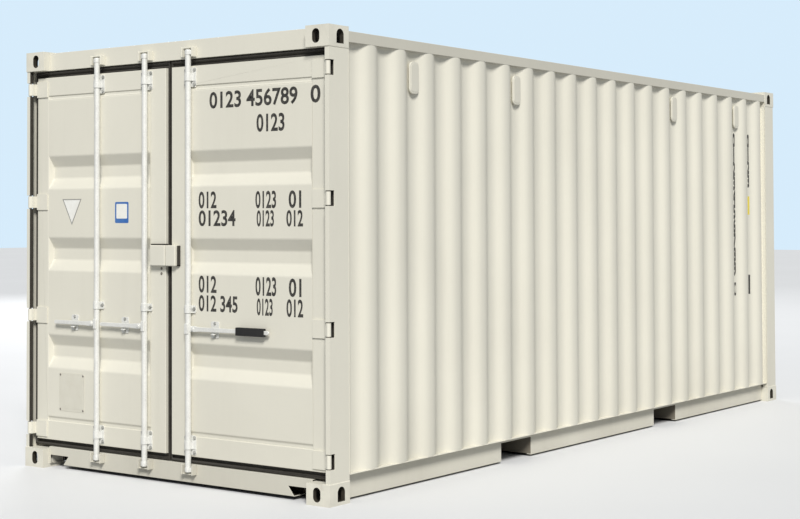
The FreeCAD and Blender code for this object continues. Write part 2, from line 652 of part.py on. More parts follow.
def keepers(label, low, cap_low):
    """Two cheeks and a plate past each bar's end, open to the front."""
    pieces = []
    for name, side, bar, _, _ in bar_places():
        inner = "cam_reach + keeper_gap"
        span = (BEAM_FACE + " - keeper_depth", BEAM_FACE)
        parts = []
        for edge, (start, end) in enumerate(((inner, inner + " + keeper_plate"),
                                             ("-(%s + keeper_plate)" % inner, "-(%s)" % inner))):
            across = mirrored((bar + " + " + start, bar + " + " + end), side)
            parts.append(box("%s_%s_cheek_%d" % (label, name, edge), span, across,
                             (low, low + " + keeper_height")))
        plate = mirrored(("%s - (%s) - keeper_plate" % (bar, inner),
                          "%s + %s + keeper_plate" % (bar, inner)), side)
        parts.append(box("%s_%s_cap" % (label, name), (BEAM_FACE + " - keeper_cap_depth", BEAM_FACE),
                         plate, (cap_low, cap_low + " + keeper_plate")))
        pieces.append(fuse("%s_%s" % (label, name), *parts))
    keep(group(label + "_set", *pieces), label)


def leaf_frame(name, side):
    """Square-tube frame around the leaf."""
    along = (DOOR_FACE, LEAF_BACK)
    within = (DOOR_FACE + " + leaf_wall", LEAF_BACK + " - leaf_wall")
    seam_edge = from_seam("leaf_gap", side)

    def tube(part, across, upright):
        shell = box("%s_%s_shell" % (name, part), along, mirrored(across, side), upright)
        inset = tuple(("%s + leaf_wall" % low, "%s - leaf_wall" % high)
                      for low, high in (across, upright))
        core = box("%s_%s_core" % (name, part), within, mirrored(inset[0], side), inset[1])
        return shell, core

    members = [tube("outer_stile", ("leaf_outer_edge - outer_stile", "leaf_outer_edge"),
                    ("leaf_bottom", "leaf_top")),
               tube("inner_stile", (seam_edge, seam_edge + " + inner_stile"),
                    ("leaf_bottom", "leaf_top")),
               tube("top", (seam_edge + " + inner_stile", "leaf_outer_edge - outer_stile"),
                    ("leaf_top - top_member", "leaf_top")),
               tube("bottom", (seam_edge + " + inner_stile", "leaf_outer_edge - outer_stile"),
                    ("leaf_bottom", "leaf_bottom + bottom_member"))]
    outside = fuse(name + "_shells", *[shell for shell, _ in members])
    keep(cut(name + "_cored", outside, *[core for _, core in members]), name)


def leaf_sheet(name, side):
    """Pressed sheet with three level recesses, between the frame members."""
    low, high = value("leaf_bottom + bottom_member"), value("leaf_top - top_member")
    start, end = (value(text) for text in mirrored((from_seam("leaf_gap + inner_stile", side),
                                                    "leaf_outer_edge - outer_stile"), side))
    front, thick = value(DOOR_FACE), value("door_sheet")
    back, edge = value("sheet_edge_setback"), value("sheet_edge")
    outer = [(front + back, start, high), (front + back, start, high - edge),
             (front, start, high - edge - back), (front, start, low + edge + back),
             (front + back, start, low + edge), (front + back, start, low)]
    inner = [(x + thick, y, z) for x, y, z in reversed(outer)]
    shape = solid_from(outer + inner, (0, end - start, 0))
    slope, end_slope = value("recess_slope"), value("recess_end_slope")
    margin, depth = value("recess_margin"), value("recess_depth")
    for top in ("recess_top_high", "recess_top_middle", "recess_top_low"):
        rise = value(top)
        fall = rise - 2 * slope - value("recess_floor")
        mouth = rectangle(front, start + margin, end - margin, fall, rise)
        bed = rectangle(front + depth, start + margin + end_slope, end - margin - end_slope,
                        fall + slope, rise - slope)
        pit = Part.makeLoft([mouth, bed], True, True)
        bowl = pit.copy()
        bowl.translate(FreeCAD.Vector(thick, 0, 0))
        shape = shape.fuse(bowl).cut(pit)
    keep(sheet_piece(name + "_sheet", shape.removeSplitter()), name)


def leaf_gasket(name, side):
    """Rubber seal all round the leaf, standing out to the posts, header, sill and seam."""
    along = (DOOR_FACE + " + gasket_setback", STOP_FACE + " - stop_gap")
    outside = box(name + "_outside", along,
                  mirrored((from_seam("gasket_seam_gap", side), "gasket_outer_edge"), side),
                  ("sill_top + gasket_gap", "header_underside - gasket_gap"))
    inside = box(name + "_inside", (along[0] + " - cut_past", along[1] + " + cut_past"),
                 mirrored((from_seam("leaf_gap", side), "leaf_outer_edge"), side),
                 ("leaf_bottom", "leaf_top"))
    keep(cut(name + "_ring", outside, inside), name)


def leaf_hinges(name, side):
    """Four blades on the face of the leaf, each with a knuckle on the hinge line."""
    centre = (HINGE_ALONG, HINGE_ACROSS if side == LEFT else "-(%s)" % HINGE_ACROSS)
    blades = []
    for number, level in enumerate(HINGE_LEVELS):
        span = (level + " - blade_height / 2", level + " + blade_height / 2")
        plate = box("%s_plate_%d" % (name, number), (DOOR_FACE + " - blade_plate", DOOR_FACE),
                    mirrored((HINGE_ACROSS + " - blade_reach", "leaf_outer_edge"), side), span)
        span = (level + " - knuckle_height / 2", level + " + knuckle_height / 2")
        neck = box("%s_neck_%d" % (name, number), (DOOR_FACE + " - blade_plate", DOOR_FACE),
                   mirrored(("leaf_outer_edge", HINGE_ACROSS + " - 2 * blade_plate"), side), span)
        web = box("%s_web_%d" % (name, number), (HINGE_ALONG, DOOR_FACE),
                  mirrored((HINGE_ACROSS + " - 3 * blade_plate", HINGE_ACROSS + " - blade_plate"),
                           side), span)
        knuckle = cylinder("%s_knuckle_%d" % (name, number), "knuckle_radius", *span, centre)
        bore = cylinder("%s_bore_%d" % (name, number), "hinge_pin_radius + hinge_pin_gap",
                        span[0] + " - cut_past", span[1] + " + cut_past", centre)
        blades.append(cut("%s_%d" % (name, number),
                          fuse("%s_joined_%d" % (name, number), plate, neck, web, knuckle), bore))
    keep(group(name + "_set", *blades), name)


def bar_brackets(name, side, bars):
    """Bearing blocks on base plates that hold the locking bars to the leaf."""
    brackets = []
    for bar in bars:
        centre = (BAR_ALONG, bar if side == LEFT else "-" + bar)
        for number, level in enumerate(BRACKET_LEVELS):
            title = "%s_%s_%d" % (name, bar, number)
            height = "bracket_height / 2" if level == "bracket_middle" else "bracket_plate_height / 2"
            plate = box(title + "_plate", (DOOR_FACE + " - bracket_plate", DOOR_FACE),
                        mirrored((bar + " - bracket_plate_half_width",
                                  bar + " + bracket_plate_half_width"), side),
                        ("%s - %s" % (level, height), "%s + %s" % (level, height)))
            block = box(title + "_block", (BAR_ALONG + " - bar_radius - bracket_cheek", DOOR_FACE),
                        mirrored((bar + " - bracket_half_width", bar + " + bracket_half_width"), side),
                        (level + " - bracket_height / 2", level + " + bracket_height / 2"))
            bore = cylinder(title + "_bore", "bar_radius + bracket_gap",
                            level + " - bracket_plate_height", level + " + bracket_plate_height", centre)
            brackets.append(cut(title, fuse(title + "_joined", plate, block), bore))
    keep(group(name + "_set", *brackets), name)


def retainers(name, side, places):
    """Plates with a shelf under each handle."""
    pieces = []
    for place in places:
        shelf_top = "handle_level - handle_height / 2 - retainer_gap"
        plate = box("%s_%s_plate" % (name, place), (DOOR_FACE + " - retainer_plate", DOOR_FACE),
                    mirrored((place + " - retainer_half_width", place + " + retainer_half_width"), side),
                    ("handle_level - retainer_height / 2", "handle_level + retainer_height / 2"))
        shelf = box("%s_%s_shelf" % (name, place), (DOOR_FACE + " - retainer_reach", DOOR_FACE),
                    mirrored((place + " - retainer_half_width / 2",
                              place + " + retainer_half_width / 2"), side),
                    (shelf_top + " - retainer_shelf", shelf_top))
        pieces.append(fuse("%s_%s" % (name, place), plate, shelf))
    keep(group(name + "_set", *pieces), name)


def lock_cover(name, side, reach):
    """Half of the pressed cover over the seam, on its own leaf and open at the back."""
    upright = ("lock_box_bottom", "lock_box_top")
    seam_edge = from_seam("lock_box_seam", side)
    across = (seam_edge, reach)
    shell = box(name + "_shell", (DOOR_FACE + " - lock_box_depth", DOOR_FACE),
                mirrored(across, side), upright)
    hollow = box(name + "_hollow",
                 (DOOR_FACE + " - lock_box_depth + lock_box_plate", DOOR_FACE + " + cut_past"),
                 mirrored((seam_edge + " + lock_box_plate", reach + " - lock_box_plate"), side),
                 ("lock_box_bottom + lock_box_plate", "lock_box_top - lock_box_plate"))
    keep(cut(name + "_cover", shell, hollow), name)


def locking_bar(name, side, bar):
    """Round bar with a cam at each end and a hub plate that carries the handle."""
    centre = (BAR_ALONG, bar if side == LEFT else "-" + bar)
    rod = cylinder(name + "_rod", "bar_radius", "bar_bottom", "bar_top", centre)
    pieces = [rod]
    for number, low in enumerate(("bar_bottom + cam_from_end", "bar_top - cam_from_end - cam_height")):
        disc = cylinder("%s_disc_%d" % (name, number), "cam_radius", low, low + " + cam_height", centre)
        nose = box("%s_nose_%d" % (name, number),
                   (BAR_ALONG + " - cam_nose_plate / 2", BAR_ALONG + " + cam_nose_plate / 2"),
                   mirrored((bar, bar + " + cam_nose_reach"), side), (low, low + " + cam_height"))
        pieces += [disc, nose]
    hub = box(name + "_hub", (BAR_ALONG + " - bar_radius - hub_front", BAR_ALONG),
              mirrored((bar + " - hub_half_width", bar + " + hub_half_width"), side),
              ("handle_level - hub_height / 2", "handle_level + hub_height / 2"))
    lug = box(name + "_lug", (BAR_ALONG, BAR_ALONG + " + hub_plate"),
              mirrored((bar, bar + " + pivot_from_bar + hub_past_pivot"), side),
              ("handle_level - handle_height / 2", "handle_level + handle_height / 2"))
    solid = fuse(name + "_joined", *pieces, hub, lug)
    pivot = bar + " + pivot_from_bar"
    hole = cylinder(name + "_pivot_hole", "pivot_radius + pivot_gap", BAR_ALONG + " - cut_past",
                    BAR_ALONG + " + hub_plate + cut_past",
                    (pivot if side == LEFT else "-(%s)" % pivot, "handle_level"), axis="x")
    keep(cut(name + "_finished", solid, hole), name)


def handle(name, side, bar, reach):
    """Flat lever on a pivot bolt, with a rounded tip."""
    front = BAR_ALONG + " - handle_gap - handle_plate"
    back = BAR_ALONG + " - handle_gap"
    pivot = bar + " + pivot_from_bar"
    centre = (pivot if side == LEFT else "-(%s)" % pivot, "handle_level")
    tip = "%s + %s - handle_height / 2" % (bar, reach)
    tip_centre = (tip if side == LEFT else "-(%s)" % tip, "handle_level")
    lever = box(name + "_lever", (front, back), mirrored((pivot, tip), side),
                ("handle_level - handle_height / 2", "handle_level + handle_height / 2"))
    rounds = [cylinder("%s_round_%d" % (name, number), "handle_height / 2 - tip_ease * %d" % number,
                       front, back, place, axis="x")
              for number, place in enumerate((centre, tip_centre))]
    bolt = cylinder(name + "_bolt", "pivot_radius", front,
                    BAR_ALONG + " + hub_plate + pivot_end", centre, axis="x")
    head = cylinder(name + "_bolt_head", "pivot_radius + pivot_head_rim",
                    front + " - pivot_head_height", front, centre, axis="x")
    keep(fuse(name + "_joined", lever, *rounds, bolt, head), name)


def handle_grip():
    """Rubber sleeve over the right-hand lever."""
    front = BAR_ALONG + " - handle_gap - handle_plate / 2 - grip_plate / 2"
    span = mirrored(("right_bar + grip_start", "right_bar + grip_start + grip_length"), RIGHT)
    sleeve = box("grip_sleeve", (front, front + " + grip_plate"), span,
                 ("handle_level - grip_height / 2", "handle_level + grip_height / 2"))
    lever = box("grip_lever", (BAR_ALONG + " - handle_gap - handle_plate", BAR_ALONG + " - handle_gap"),
                (span[0] + " - cut_past", span[1] + " + cut_past"),
                ("handle_level - handle_height / 2", "handle_level + handle_height / 2"))
    keep(cut("grip_cut", sleeve, lever), "right_handle_grip")


def doors():
    for name, side, bars, places, lock_reach in (
            ("left", LEFT, ("left_outer_bar", "left_inner_bar"),
             ("left_outer_retainer", "left_inner_retainer"), "lock_box_left"),
            ("right", RIGHT, ("right_bar",), ("right_retainer",), "lock_box_right")):
        leaf_frame(name + "_door_frame", side)
        leaf_sheet(name + "_door_panel", side)
        leaf_gasket(name + "_door_gasket", side)
        leaf_hinges(name + "_door_hinges", side)
        bar_brackets(name + "_bar_brackets", side, bars)
        retainers(name + "_handle_retainers", side, places)
        lock_cover(name + "_lock_cover", side, lock_reach)
    for name, side, bar, reach, _ in bar_places():
        locking_bar(name + "_locking_bar", side, bar)
        handle(name + "_handle", side, bar, reach)
    handle_grip()


def check_and_write():
    document.recompute()
    for piece in document.Objects:
        if "Invalid" in piece.State or "Error" in piece.State:
            raise RuntimeError("%s could not be built: %s" % (piece.Label, piece.State))
    os.makedirs("parts", exist_ok=True)
    for piece in nodes:
        shape = piece.Shape
        if shape.isNull() or not shape.isValid() or not shape.Solids:
            raise RuntimeError(piece.Label + " is not a valid solid")
    for piece in nodes:
        piece.Shape.exportStep(os.path.join("parts", piece.Label + ".step"))
        print(piece.Label, len(piece.Shape.Solids), "solids")


corner_fittings()
door_posts()
front_posts()
door_beams()
front_beams()
side_rails()
side_walls()
front_wall()
roof()
floor()
crossmembers()
fork_pockets()
ventilators()
keepers("header_keepers", "bar_top + keeper_end_gap + keeper_plate - keeper_height",
        "bar_top + keeper_end_gap")
keepers("sill_keepers", "bar_bottom - keeper_end_gap - keeper_plate",
        "bar_bottom - keeper_end_gap - keeper_plate")
doors()
check_and_write()
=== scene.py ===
"""The looks of a twenty-foot freight container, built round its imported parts. Metres."""
import json
import math

import bmesh
import bpy
from mathutils import Matrix, Vector


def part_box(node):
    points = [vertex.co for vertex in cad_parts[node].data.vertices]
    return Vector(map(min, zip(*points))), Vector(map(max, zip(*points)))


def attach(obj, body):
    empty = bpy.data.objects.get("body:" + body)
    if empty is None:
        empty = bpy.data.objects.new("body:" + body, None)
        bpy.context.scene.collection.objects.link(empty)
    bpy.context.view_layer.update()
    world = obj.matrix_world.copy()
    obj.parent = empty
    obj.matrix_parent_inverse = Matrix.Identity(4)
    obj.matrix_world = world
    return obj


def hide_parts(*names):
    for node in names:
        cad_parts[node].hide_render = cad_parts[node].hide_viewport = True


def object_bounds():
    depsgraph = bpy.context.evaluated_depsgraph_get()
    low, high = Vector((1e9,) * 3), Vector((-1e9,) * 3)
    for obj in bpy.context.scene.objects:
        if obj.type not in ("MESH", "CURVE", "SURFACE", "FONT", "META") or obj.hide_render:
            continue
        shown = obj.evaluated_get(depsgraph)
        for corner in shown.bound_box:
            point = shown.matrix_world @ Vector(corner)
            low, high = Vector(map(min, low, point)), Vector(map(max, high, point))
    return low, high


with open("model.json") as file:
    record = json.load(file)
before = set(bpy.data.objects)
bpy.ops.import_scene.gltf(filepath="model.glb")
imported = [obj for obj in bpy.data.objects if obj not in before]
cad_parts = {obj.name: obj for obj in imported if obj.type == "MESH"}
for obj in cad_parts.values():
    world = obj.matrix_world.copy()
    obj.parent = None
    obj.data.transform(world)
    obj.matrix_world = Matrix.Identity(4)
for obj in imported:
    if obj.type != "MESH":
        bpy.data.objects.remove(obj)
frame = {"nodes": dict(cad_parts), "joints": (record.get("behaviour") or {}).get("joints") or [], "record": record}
CAD_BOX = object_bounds()
NODES = frame["nodes"]
JOINTS = {joint["name"]: joint for joint in frame["joints"]}
BODY_OF = {node: body for body, nodes in frame["record"]["behaviour"]["bodies"].items()
           for node in nodes}
LEFT = 1
RIGHT = -1
# places that the part's own sizes give
SEAM = 0.020
WALL_SHIFT, WALL_PITCH = 0.045, 0.282
HANDLE_LEVEL = 0.909
RECESS_DROPS = (1.604, 1.000, 0.493)
RECESS_SLOPE, RECESS_DEPTH, RECESS_HEIGHT = 0.068, 0.036, 0.206
EDGE, EDGE_SETBACK = 0.020, 0.006
CASTING_LENGTH, CASTING_WIDTH = 0.178, 0.162
WALL_DEPTH, FRONT_DEPTH, WALL_BEND = 0.036, 0.045, 0.030
NOSE_INNER_FACE, NOSE_BACK = 1.188, -2.994
BAR_RADIUS, BAR_SIDES = 0.017, 40
LEVER_THICK, LEVER_ROOT_RADIUS, LEVER_TIP_RADIUS = 0.009, 0.017, 0.0115


# ---------------------------------------------------------------- node trees

class Socket:
    """An output socket that takes part in sums. Each sum adds its Math node."""

    def __init__(self, board, socket):
        self.board = board
        self.socket = socket

    def sum_of(self, operation, *terms):
        return self.board.add("ShaderNodeMath", {"operation": operation}, dict(enumerate(terms)))

    def __add__(self, other):
        return self.sum_of("ADD", self, other)

    def __radd__(self, other):
        return self.sum_of("ADD", other, self)

    def __sub__(self, other):
        return self.sum_of("SUBTRACT", self, other)

    def __rsub__(self, other):
        return self.sum_of("SUBTRACT", other, self)

    def __mul__(self, other):
        return self.sum_of("MULTIPLY", self, other)

    def __rmul__(self, other):
        return self.sum_of("MULTIPLY", other, self)

    def between(self, low, high):
        """0 below low, 1 above high, and even steps between them."""
        return self.board.add("ShaderNodeMapRange", {"clamp": True},
                              {"Value": self, "From Min": low, "From Max": high})


class Board:
    """A node tree that any node is added to by its type, its settings and its inputs."""

    def __init__(self, tree):
        self.tree = tree

    def add(self, kind, settings=None, inputs=None, output=0):
        node = self.tree.nodes.new(kind)
        for name, setting in (settings or {}).items():
            if name == "stops":
                ramp = node.color_ramp
                while len(ramp.elements) < len(setting):
                    ramp.elements.new(0.5)
                for element, (place, colour) in zip(ramp.elements, setting):
                    element.position = place
                    element.color = (*colour, 1)
            else:
                setattr(node, name, setting)
        for name, given in (inputs or {}).items():
            if isinstance(given, Socket):
                self.tree.links.new(given.socket, node.inputs[name])
            else:
                node.inputs[name].default_value = given
        return Socket(self, node.outputs[output]) if len(node.outputs) else node


def tone(red, green, blue):
    """A colour as a screen shows it, 0 to 255, turned into the light that it gives back."""
    parts = [level / 255 for level in (red, green, blue)]
    return tuple(p / 12.92 if p <= 0.04045 else ((p + 0.055) / 1.055) ** 2.4 for p in parts)


def tinted(colour, factor):
    return tuple(min(1.0, part * factor) for part in colour)


class Finish(Board):
    """A material, written as sums of patterns over the surface."""

    def __init__(self, name):
        self.material = bpy.data.materials.new(name)
        self.material.use_nodes = True
        super().__init__(self.material.node_tree)
        self.tree.nodes.clear()
        self.place = self.add("ShaderNodeTexCoord", output=3)

    def stretched(self, scale, turn=(0, 0, 0)):
        return self.add("ShaderNodeMapping", None,
                        {"Vector": self.place, "Scale": scale, "Rotation": turn})

    def noise(self, scale, detail=3.0, rough=0.5, stretch=None, twist=0.0):
        place = self.stretched(stretch) if stretch else self.place
        return self.add("ShaderNodeTexNoise", None,
                        {"Vector": place, "Scale": scale, "Detail": detail, "Roughness": rough,
                         "Distortion": twist})

    def cells(self, scale, output=0):
        return self.add("ShaderNodeTexVoronoi", None, {"Vector": self.place, "Scale": scale}, output)

    def height(self):
        return self.add("ShaderNodeSeparateXYZ", None, {"Vector": self.place}, 2)

    def mix(self, first, second, share, blend="MIX"):
        def colour(given):
            return given if isinstance(given, Socket) else (*given, 1)
        return self.add("ShaderNodeMix", {"data_type": "RGBA", "blend_type": blend},
                        {0: share, 6: colour(first), 7: colour(second)}, 2)

    def bump(self, height, strength, distance, under=None):
        inputs = {"Height": height, "Strength": strength, "Distance": distance}
        if under is not None:
            inputs["Normal"] = under
        return self.add("ShaderNodeBump", None, inputs)

    def shade(self, **inputs):
        """The surface itself: Base_Color, Roughness and so on, with _ for a space."""
        sockets = {name.replace("_", " "): given for name, given in inputs.items()}
        for name, given in sockets.items():
            if name.endswith("Color") and not isinstance(given, Socket):
                sockets[name] = (*given, 1)
        surface = self.add("ShaderNodeBsdfPrincipled", None, sockets)
        self.add("ShaderNodeOutputMaterial", None, {"Surface": surface})
        return self.material


def paint(name, colour, dirt=0.5, gloss=0.42, dent=1.0):
    """Sprayed steel paint: slight clouds, thin rain streaks, fine spray grain, faint dents."""
    f = Finish(name)
    clouds = f.noise(0.9, 4.0, 0.55)
    streaks = f.noise(1.0, 5.0, 0.6, stretch=(14, 14, 0.7)).between(0.5, 0.85)
    flecks = f.noise(60, 4.0, 0.7).between(0.63, 0.8)
    low_dust = 1 - f.height().between(0.0, 0.55)
    dust = (low_dust * 0.55 + streaks * 0.35 + flecks * 0.3) * dirt * clouds.between(0.3, 0.7)
    clean = f.mix(tinted(colour, 1.03), tinted(colour, 0.955), clouds.between(0.25, 0.75))
    dirty = f.mix(clean, tinted(tone(150, 141, 122), 0.95), dust * 0.42)
    specks = f.noise(230, 2.0, 0.6).between(0.78, 0.84) * f.noise(3.5, 2.0).between(0.55, 0.75)
    base = f.mix(dirty, tone(120, 96, 70), specks * 0.45 * dirt)
    rough = gloss + clouds * 0.08 + dust * 0.2 + f.noise(180, 2.0) * 0.05
    dents = f.bump(f.noise(2.6, 2.0, 0.4), 0.35 * dent, 0.004)
    spray = f.bump(f.noise(520, 3.0, 0.6), 0.10, 0.0004, dents)
    return f.shade(Base_Color=base, Roughness=rough, Normal=spray)


def cast_paint(name, colour):
    """Paint over a sand-cast surface, with worn places scattered over it."""
    f = Finish(name)
    pits = f.noise(140, 5.0, 0.65)
    lumps = f.cells(55)
    wear = f.noise(9, 5.0, 0.62).between(0.62, 0.72)
    shade = f.mix(tinted(colour, 1.04), tinted(colour, 0.9), f.noise(7, 4.0).between(0.3, 0.7))
    base = f.mix(shade, tone(158, 140, 118), wear * 0.35)
    skin = f.bump(pits, 0.30, 0.0012, f.bump(lumps, 0.18, 0.0015))
    return f.shade(Base_Color=base, Roughness=0.46 + pits * 0.14, Normal=skin)


def zinc(name, colour, metal=0.55, rough=0.34):
    """Galvanised steel: soft spangle, pale bloom and fine drawn lines along the height."""
    f = Finish(name)
    spangle = f.cells(170, output=1)
    flake = f.add("ShaderNodeSeparateColor", None, {"Color": spangle})
    bloom = f.noise(14, 4.0, 0.6).between(0.35, 0.7)
    lines = f.noise(1.0, 3.0, 0.6, stretch=(900, 900, 14))
    bright = f.mix(tinted(colour, 0.94), tinted(colour, 1.06), flake)
    base = f.mix(bright, tone(222, 222, 218), bloom * 0.5)
    return f.shade(Base_Color=base, Metallic=metal - bloom * 0.2,
                   Roughness=rough + flake * 0.10 + bloom * 0.12,
                   Normal=f.bump(lines, 0.08, 0.0004))


def rubber(name, colour, dusty=0.5, ribs=0.0):
    """Moulded rubber with a chalky bloom."""
    f = Finish(name)
    chalk = f.noise(22, 5.0, 0.65).between(0.4, 0.8)
    fine = f.noise(420, 3.0, 0.6)
    base = f.mix(colour, tinted(tone(112, 108, 98), 0.9), chalk * 0.28 * dusty)
    skin = f.bump(fine, 0.16, 0.0005)
    if ribs:
        rows = f.add("ShaderNodeTexWave", {"bands_direction": "Y"},
                     {"Vector": f.place, "Scale": ribs})
        skin = f.bump(rows, 0.35, 0.001, skin)
    return f.shade(Base_Color=base, Roughness=0.62 + chalk * 0.2, Normal=skin)


def plywood(name):
    """Varnished hardwood plywood: long grain, plugs of glue, fork truck scuffs."""
    f = Finish(name)
    long_grain = f.noise(1.0, 7.0, 0.62, stretch=(1.1, 34, 34), twist=0.6)
    pores = f.noise(1.0, 4.0, 0.6, stretch=(22, 420, 420)).between(0.52, 0.7)
    rings = f.add("ShaderNodeTexWave", {"bands_direction": "Y", "wave_profile": "SAW"},
                  {"Vector": f.stretched((0.25, 1, 1)), "Scale": 3.6, "Distortion": 9.0,
                   "Detail": 3.0, "Detail Scale": 0.7})
    sheets = f.noise(0.85, 1.0)
    warm = f.add("ShaderNodeValToRGB",
                 {"stops": ((0.25, tone(104, 62, 38)), (0.5, tone(140, 88, 54)),
                            (0.75, tone(166, 110, 70)))},
                 {"Fac": long_grain * 0.6 + rings * 0.25 + sheets * 0.15})
    dark = f.mix(warm, tone(64, 38, 24), pores * 0.6)
    scuffs = f.noise(1.0, 6.0, 0.7, stretch=(1.4, 9, 9)).between(0.6, 0.75)
    base = f.mix(dark, tone(120, 112, 100), scuffs * 0.4)
    return f.shade(Base_Color=base, Roughness=0.42 + scuffs * 0.3 + pores * 0.1,
                   Normal=f.bump(long_grain - pores * 0.5, 0.25, 0.001))


def under_coat(name):
    """Thick brushed bitumen on the steel under the floor, with patches of dust."""
    f = Finish(name)
    brushed = f.noise(1.0, 5.0, 0.6, stretch=(60, 9, 60))
    lumps = f.noise(45, 5.0, 0.7)
    dust = f.noise(4, 4.0, 0.6).between(0.4, 0.75)
    base = f.mix(tone(44, 43, 41), tone(104, 96, 82), dust * 0.5)
    skin = f.bump(lumps, 0.4, 0.002, f.bump(brushed, 0.3, 0.002))
    return f.shade(Base_Color=base, Roughness=0.48 + dust * 0.35, Normal=skin)


def ink(name, colour):
    """Sprayed marking ink that has thinned in places."""
    f = Finish(name)
    thin = f.noise(75, 5.0, 0.7).between(0.45, 0.75)
    base = f.mix(colour, tone(150, 146, 136), thin * 0.35)
    return f.shade(Base_Color=base, Roughness=0.5 + thin * 0.15,
                   Normal=f.bump(f.noise(520, 3.0, 0.6), 0.12, 0.0004))


def film(name, colour, faded, gloss=0.3):
    """Printed vinyl with sun fade, dust and faint ripples."""
    f = Finish(name)
    worn = f.noise(16, 4.0, 0.6).between(0.35, 0.75)
    base = f.mix(colour, faded, worn * 0.6)
    return f.shade(Base_Color=base, Roughness=gloss + worn * 0.25,
                   Normal=f.bump(f.noise(28, 3.0), 0.10, 0.001))


def bare_steel(name, colour):
    """Turned steel with oil stains and a breath of rust."""
    f = Finish(name)
    stain = f.noise(38, 5.0, 0.65).between(0.45, 0.75)
    base = f.mix(colour, tone(120, 82, 56), stain * 0.35)
    return f.shade(Base_Color=base, Metallic=0.85 - stain * 0.5, Roughness=0.36 + stain * 0.25,
                   Normal=f.bump(f.noise(300, 3.0), 0.1, 0.0005))


CREAM = tone(221, 218, 205)
RUBBER_BLACK = tone(46, 43, 38)
cream = paint("cream_paint", CREAM)
cream_wall = paint("cream_paint_walls", CREAM, dirt=0.6)
cream_rail = paint("cream_paint_rails", tinted(CREAM, 0.98), dirt=0.9, gloss=0.46)
# The top rails take a darker copy of the cream, 0.80 of it, with more dirt: partly painted shade, partly dirt
cream_top_rail_dirt_and_shade = paint("cream_paint_top_rails", tinted(CREAM, 0.80), dirt=0.8, gloss=0.5)
# The sill and its keepers take a darker copy of the cream, 0.86 of it, with more dirt: partly painted shade,
# partly dirt
cream_sill_dirt_and_shade = paint("cream_paint_sill", tinted(CREAM, 0.86), dirt=0.9, gloss=0.48)
# Dark grey-brown for the fork pockets: partly their dark coating, partly painted shade inside the tunnels
pocket_coat_and_shade = paint("fork_pocket_paint", tone(118, 113, 102), dirt=1.2, gloss=0.55)
# Painted shade: near-black cast paint for the faces deep in the castings' holes and in the sill's notches
hollow_painted_shade = cast_paint("casting_hollows", tone(58, 54, 46))
cream_roof = paint("cream_paint_roof", tinted(CREAM, 0.98), dirt=1.1, gloss=0.5)
cream_fitting = cast_paint("cream_paint_castings", tinted(CREAM, 1.0))
cream_bead = paint("cream_paint_beads", tinted(CREAM, 1.02), dirt=0.8, gloss=0.36, dent=0.0)
galvanised = zinc("galvanised_bars", tone(230, 230, 226), metal=0.30, rough=0.38)
galvanised_dark = zinc("galvanised_small_parts", tone(168, 168, 164), metal=0.6, rough=0.42)
seal = rubber("door_seal", RUBBER_BLACK)
grip = rubber("handle_grip", tone(26, 26, 27), dusty=0.3, ribs=38)
boards = plywood("floor_plywood")
bitumen = under_coat("underside_bitumen")
pin_steel = bare_steel("hinge_pin_steel", tone(150, 146, 138))
vent_plastic = paint("vent_covers", tinted(CREAM, 0.93), dirt=0.5, gloss=0.5, dent=0.0)
marking = ink("marking_ink", tone(46, 45, 43))
white_film = film("white_film", tone(240, 240, 236), tone(222, 220, 210))
blue_film = film("blue_film", tone(52, 104, 176), tone(84, 126, 182))
yellow_film = film("yellow_film", tone(236, 214, 56), tone(226, 212, 110))
rim_film = film("rim_film", tone(148, 147, 142), tone(172, 170, 163))
plate_metal = film("blank_plate", tone(214, 211, 198), tone(206, 202, 188), 0.4)


# ---------------------------------------------------------------- meshes

def show(mesh, name):
    """Puts a mesh, or a curve, into the scene as an object."""
    piece = bpy.data.objects.new(name, mesh)
    bpy.context.scene.collection.objects.link(piece)
    return piece


def made_mesh(bm, name):
    """The plain mesh of what has been built so far, which ends the building."""
    mesh = bpy.data.meshes.new(name)
    bm.to_mesh(mesh)
    bm.free()
    return mesh


def settle(piece):
    """Turns the piece's modifiers into plain mesh."""
    bpy.context.view_layer.update()
    graph = bpy.context.evaluated_depsgraph_get()
    done = bpy.data.meshes.new_from_object(piece.evaluated_get(graph), preserve_all_data_layers=True,
                                           depsgraph=graph)
    piece.modifiers.clear()
    piece.data = done
    return piece


def keep_inside(mesh):
    """No point of a piece stands outside the size that the container is built to."""
    for vert in mesh.vertices:
        vert.co = [min(max(value, low), high) for value, low, high in zip(vert.co, *CAD_BOX)]


def finish_piece(piece, finishes, body, smooth=35, even=True):
    """Dresses a piece and puts it on its body. Wide faces stay flat and the bends take the turn."""
    mesh = piece.data
    keep_inside(mesh)
    mesh.materials.clear()
    for finish in finishes:
        mesh.materials.append(finish)
    mesh.shade_smooth()
    mesh.set_sharp_from_angle(angle=math.radians(smooth))
    if even:
        turn = piece.modifiers.new("turn", "WEIGHTED_NORMAL")
        turn.keep_sharp = True
        turn.weight = 80
        settle(piece)
    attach(piece, body)
    return piece


def merged_copy(node, dissolve=1.0):
    """A CAD node's surface with its loose triangles joined into whole faces."""
    bm = bmesh.new()
    bm.from_mesh(NODES[node].data)
    bmesh.ops.remove_doubles(bm, verts=bm.verts, dist=0.00002)
    bmesh.ops.dissolve_limit(bm, angle_limit=math.radians(dissolve), verts=bm.verts, edges=bm.edges)
    return made_mesh(bm, node + "_surface")


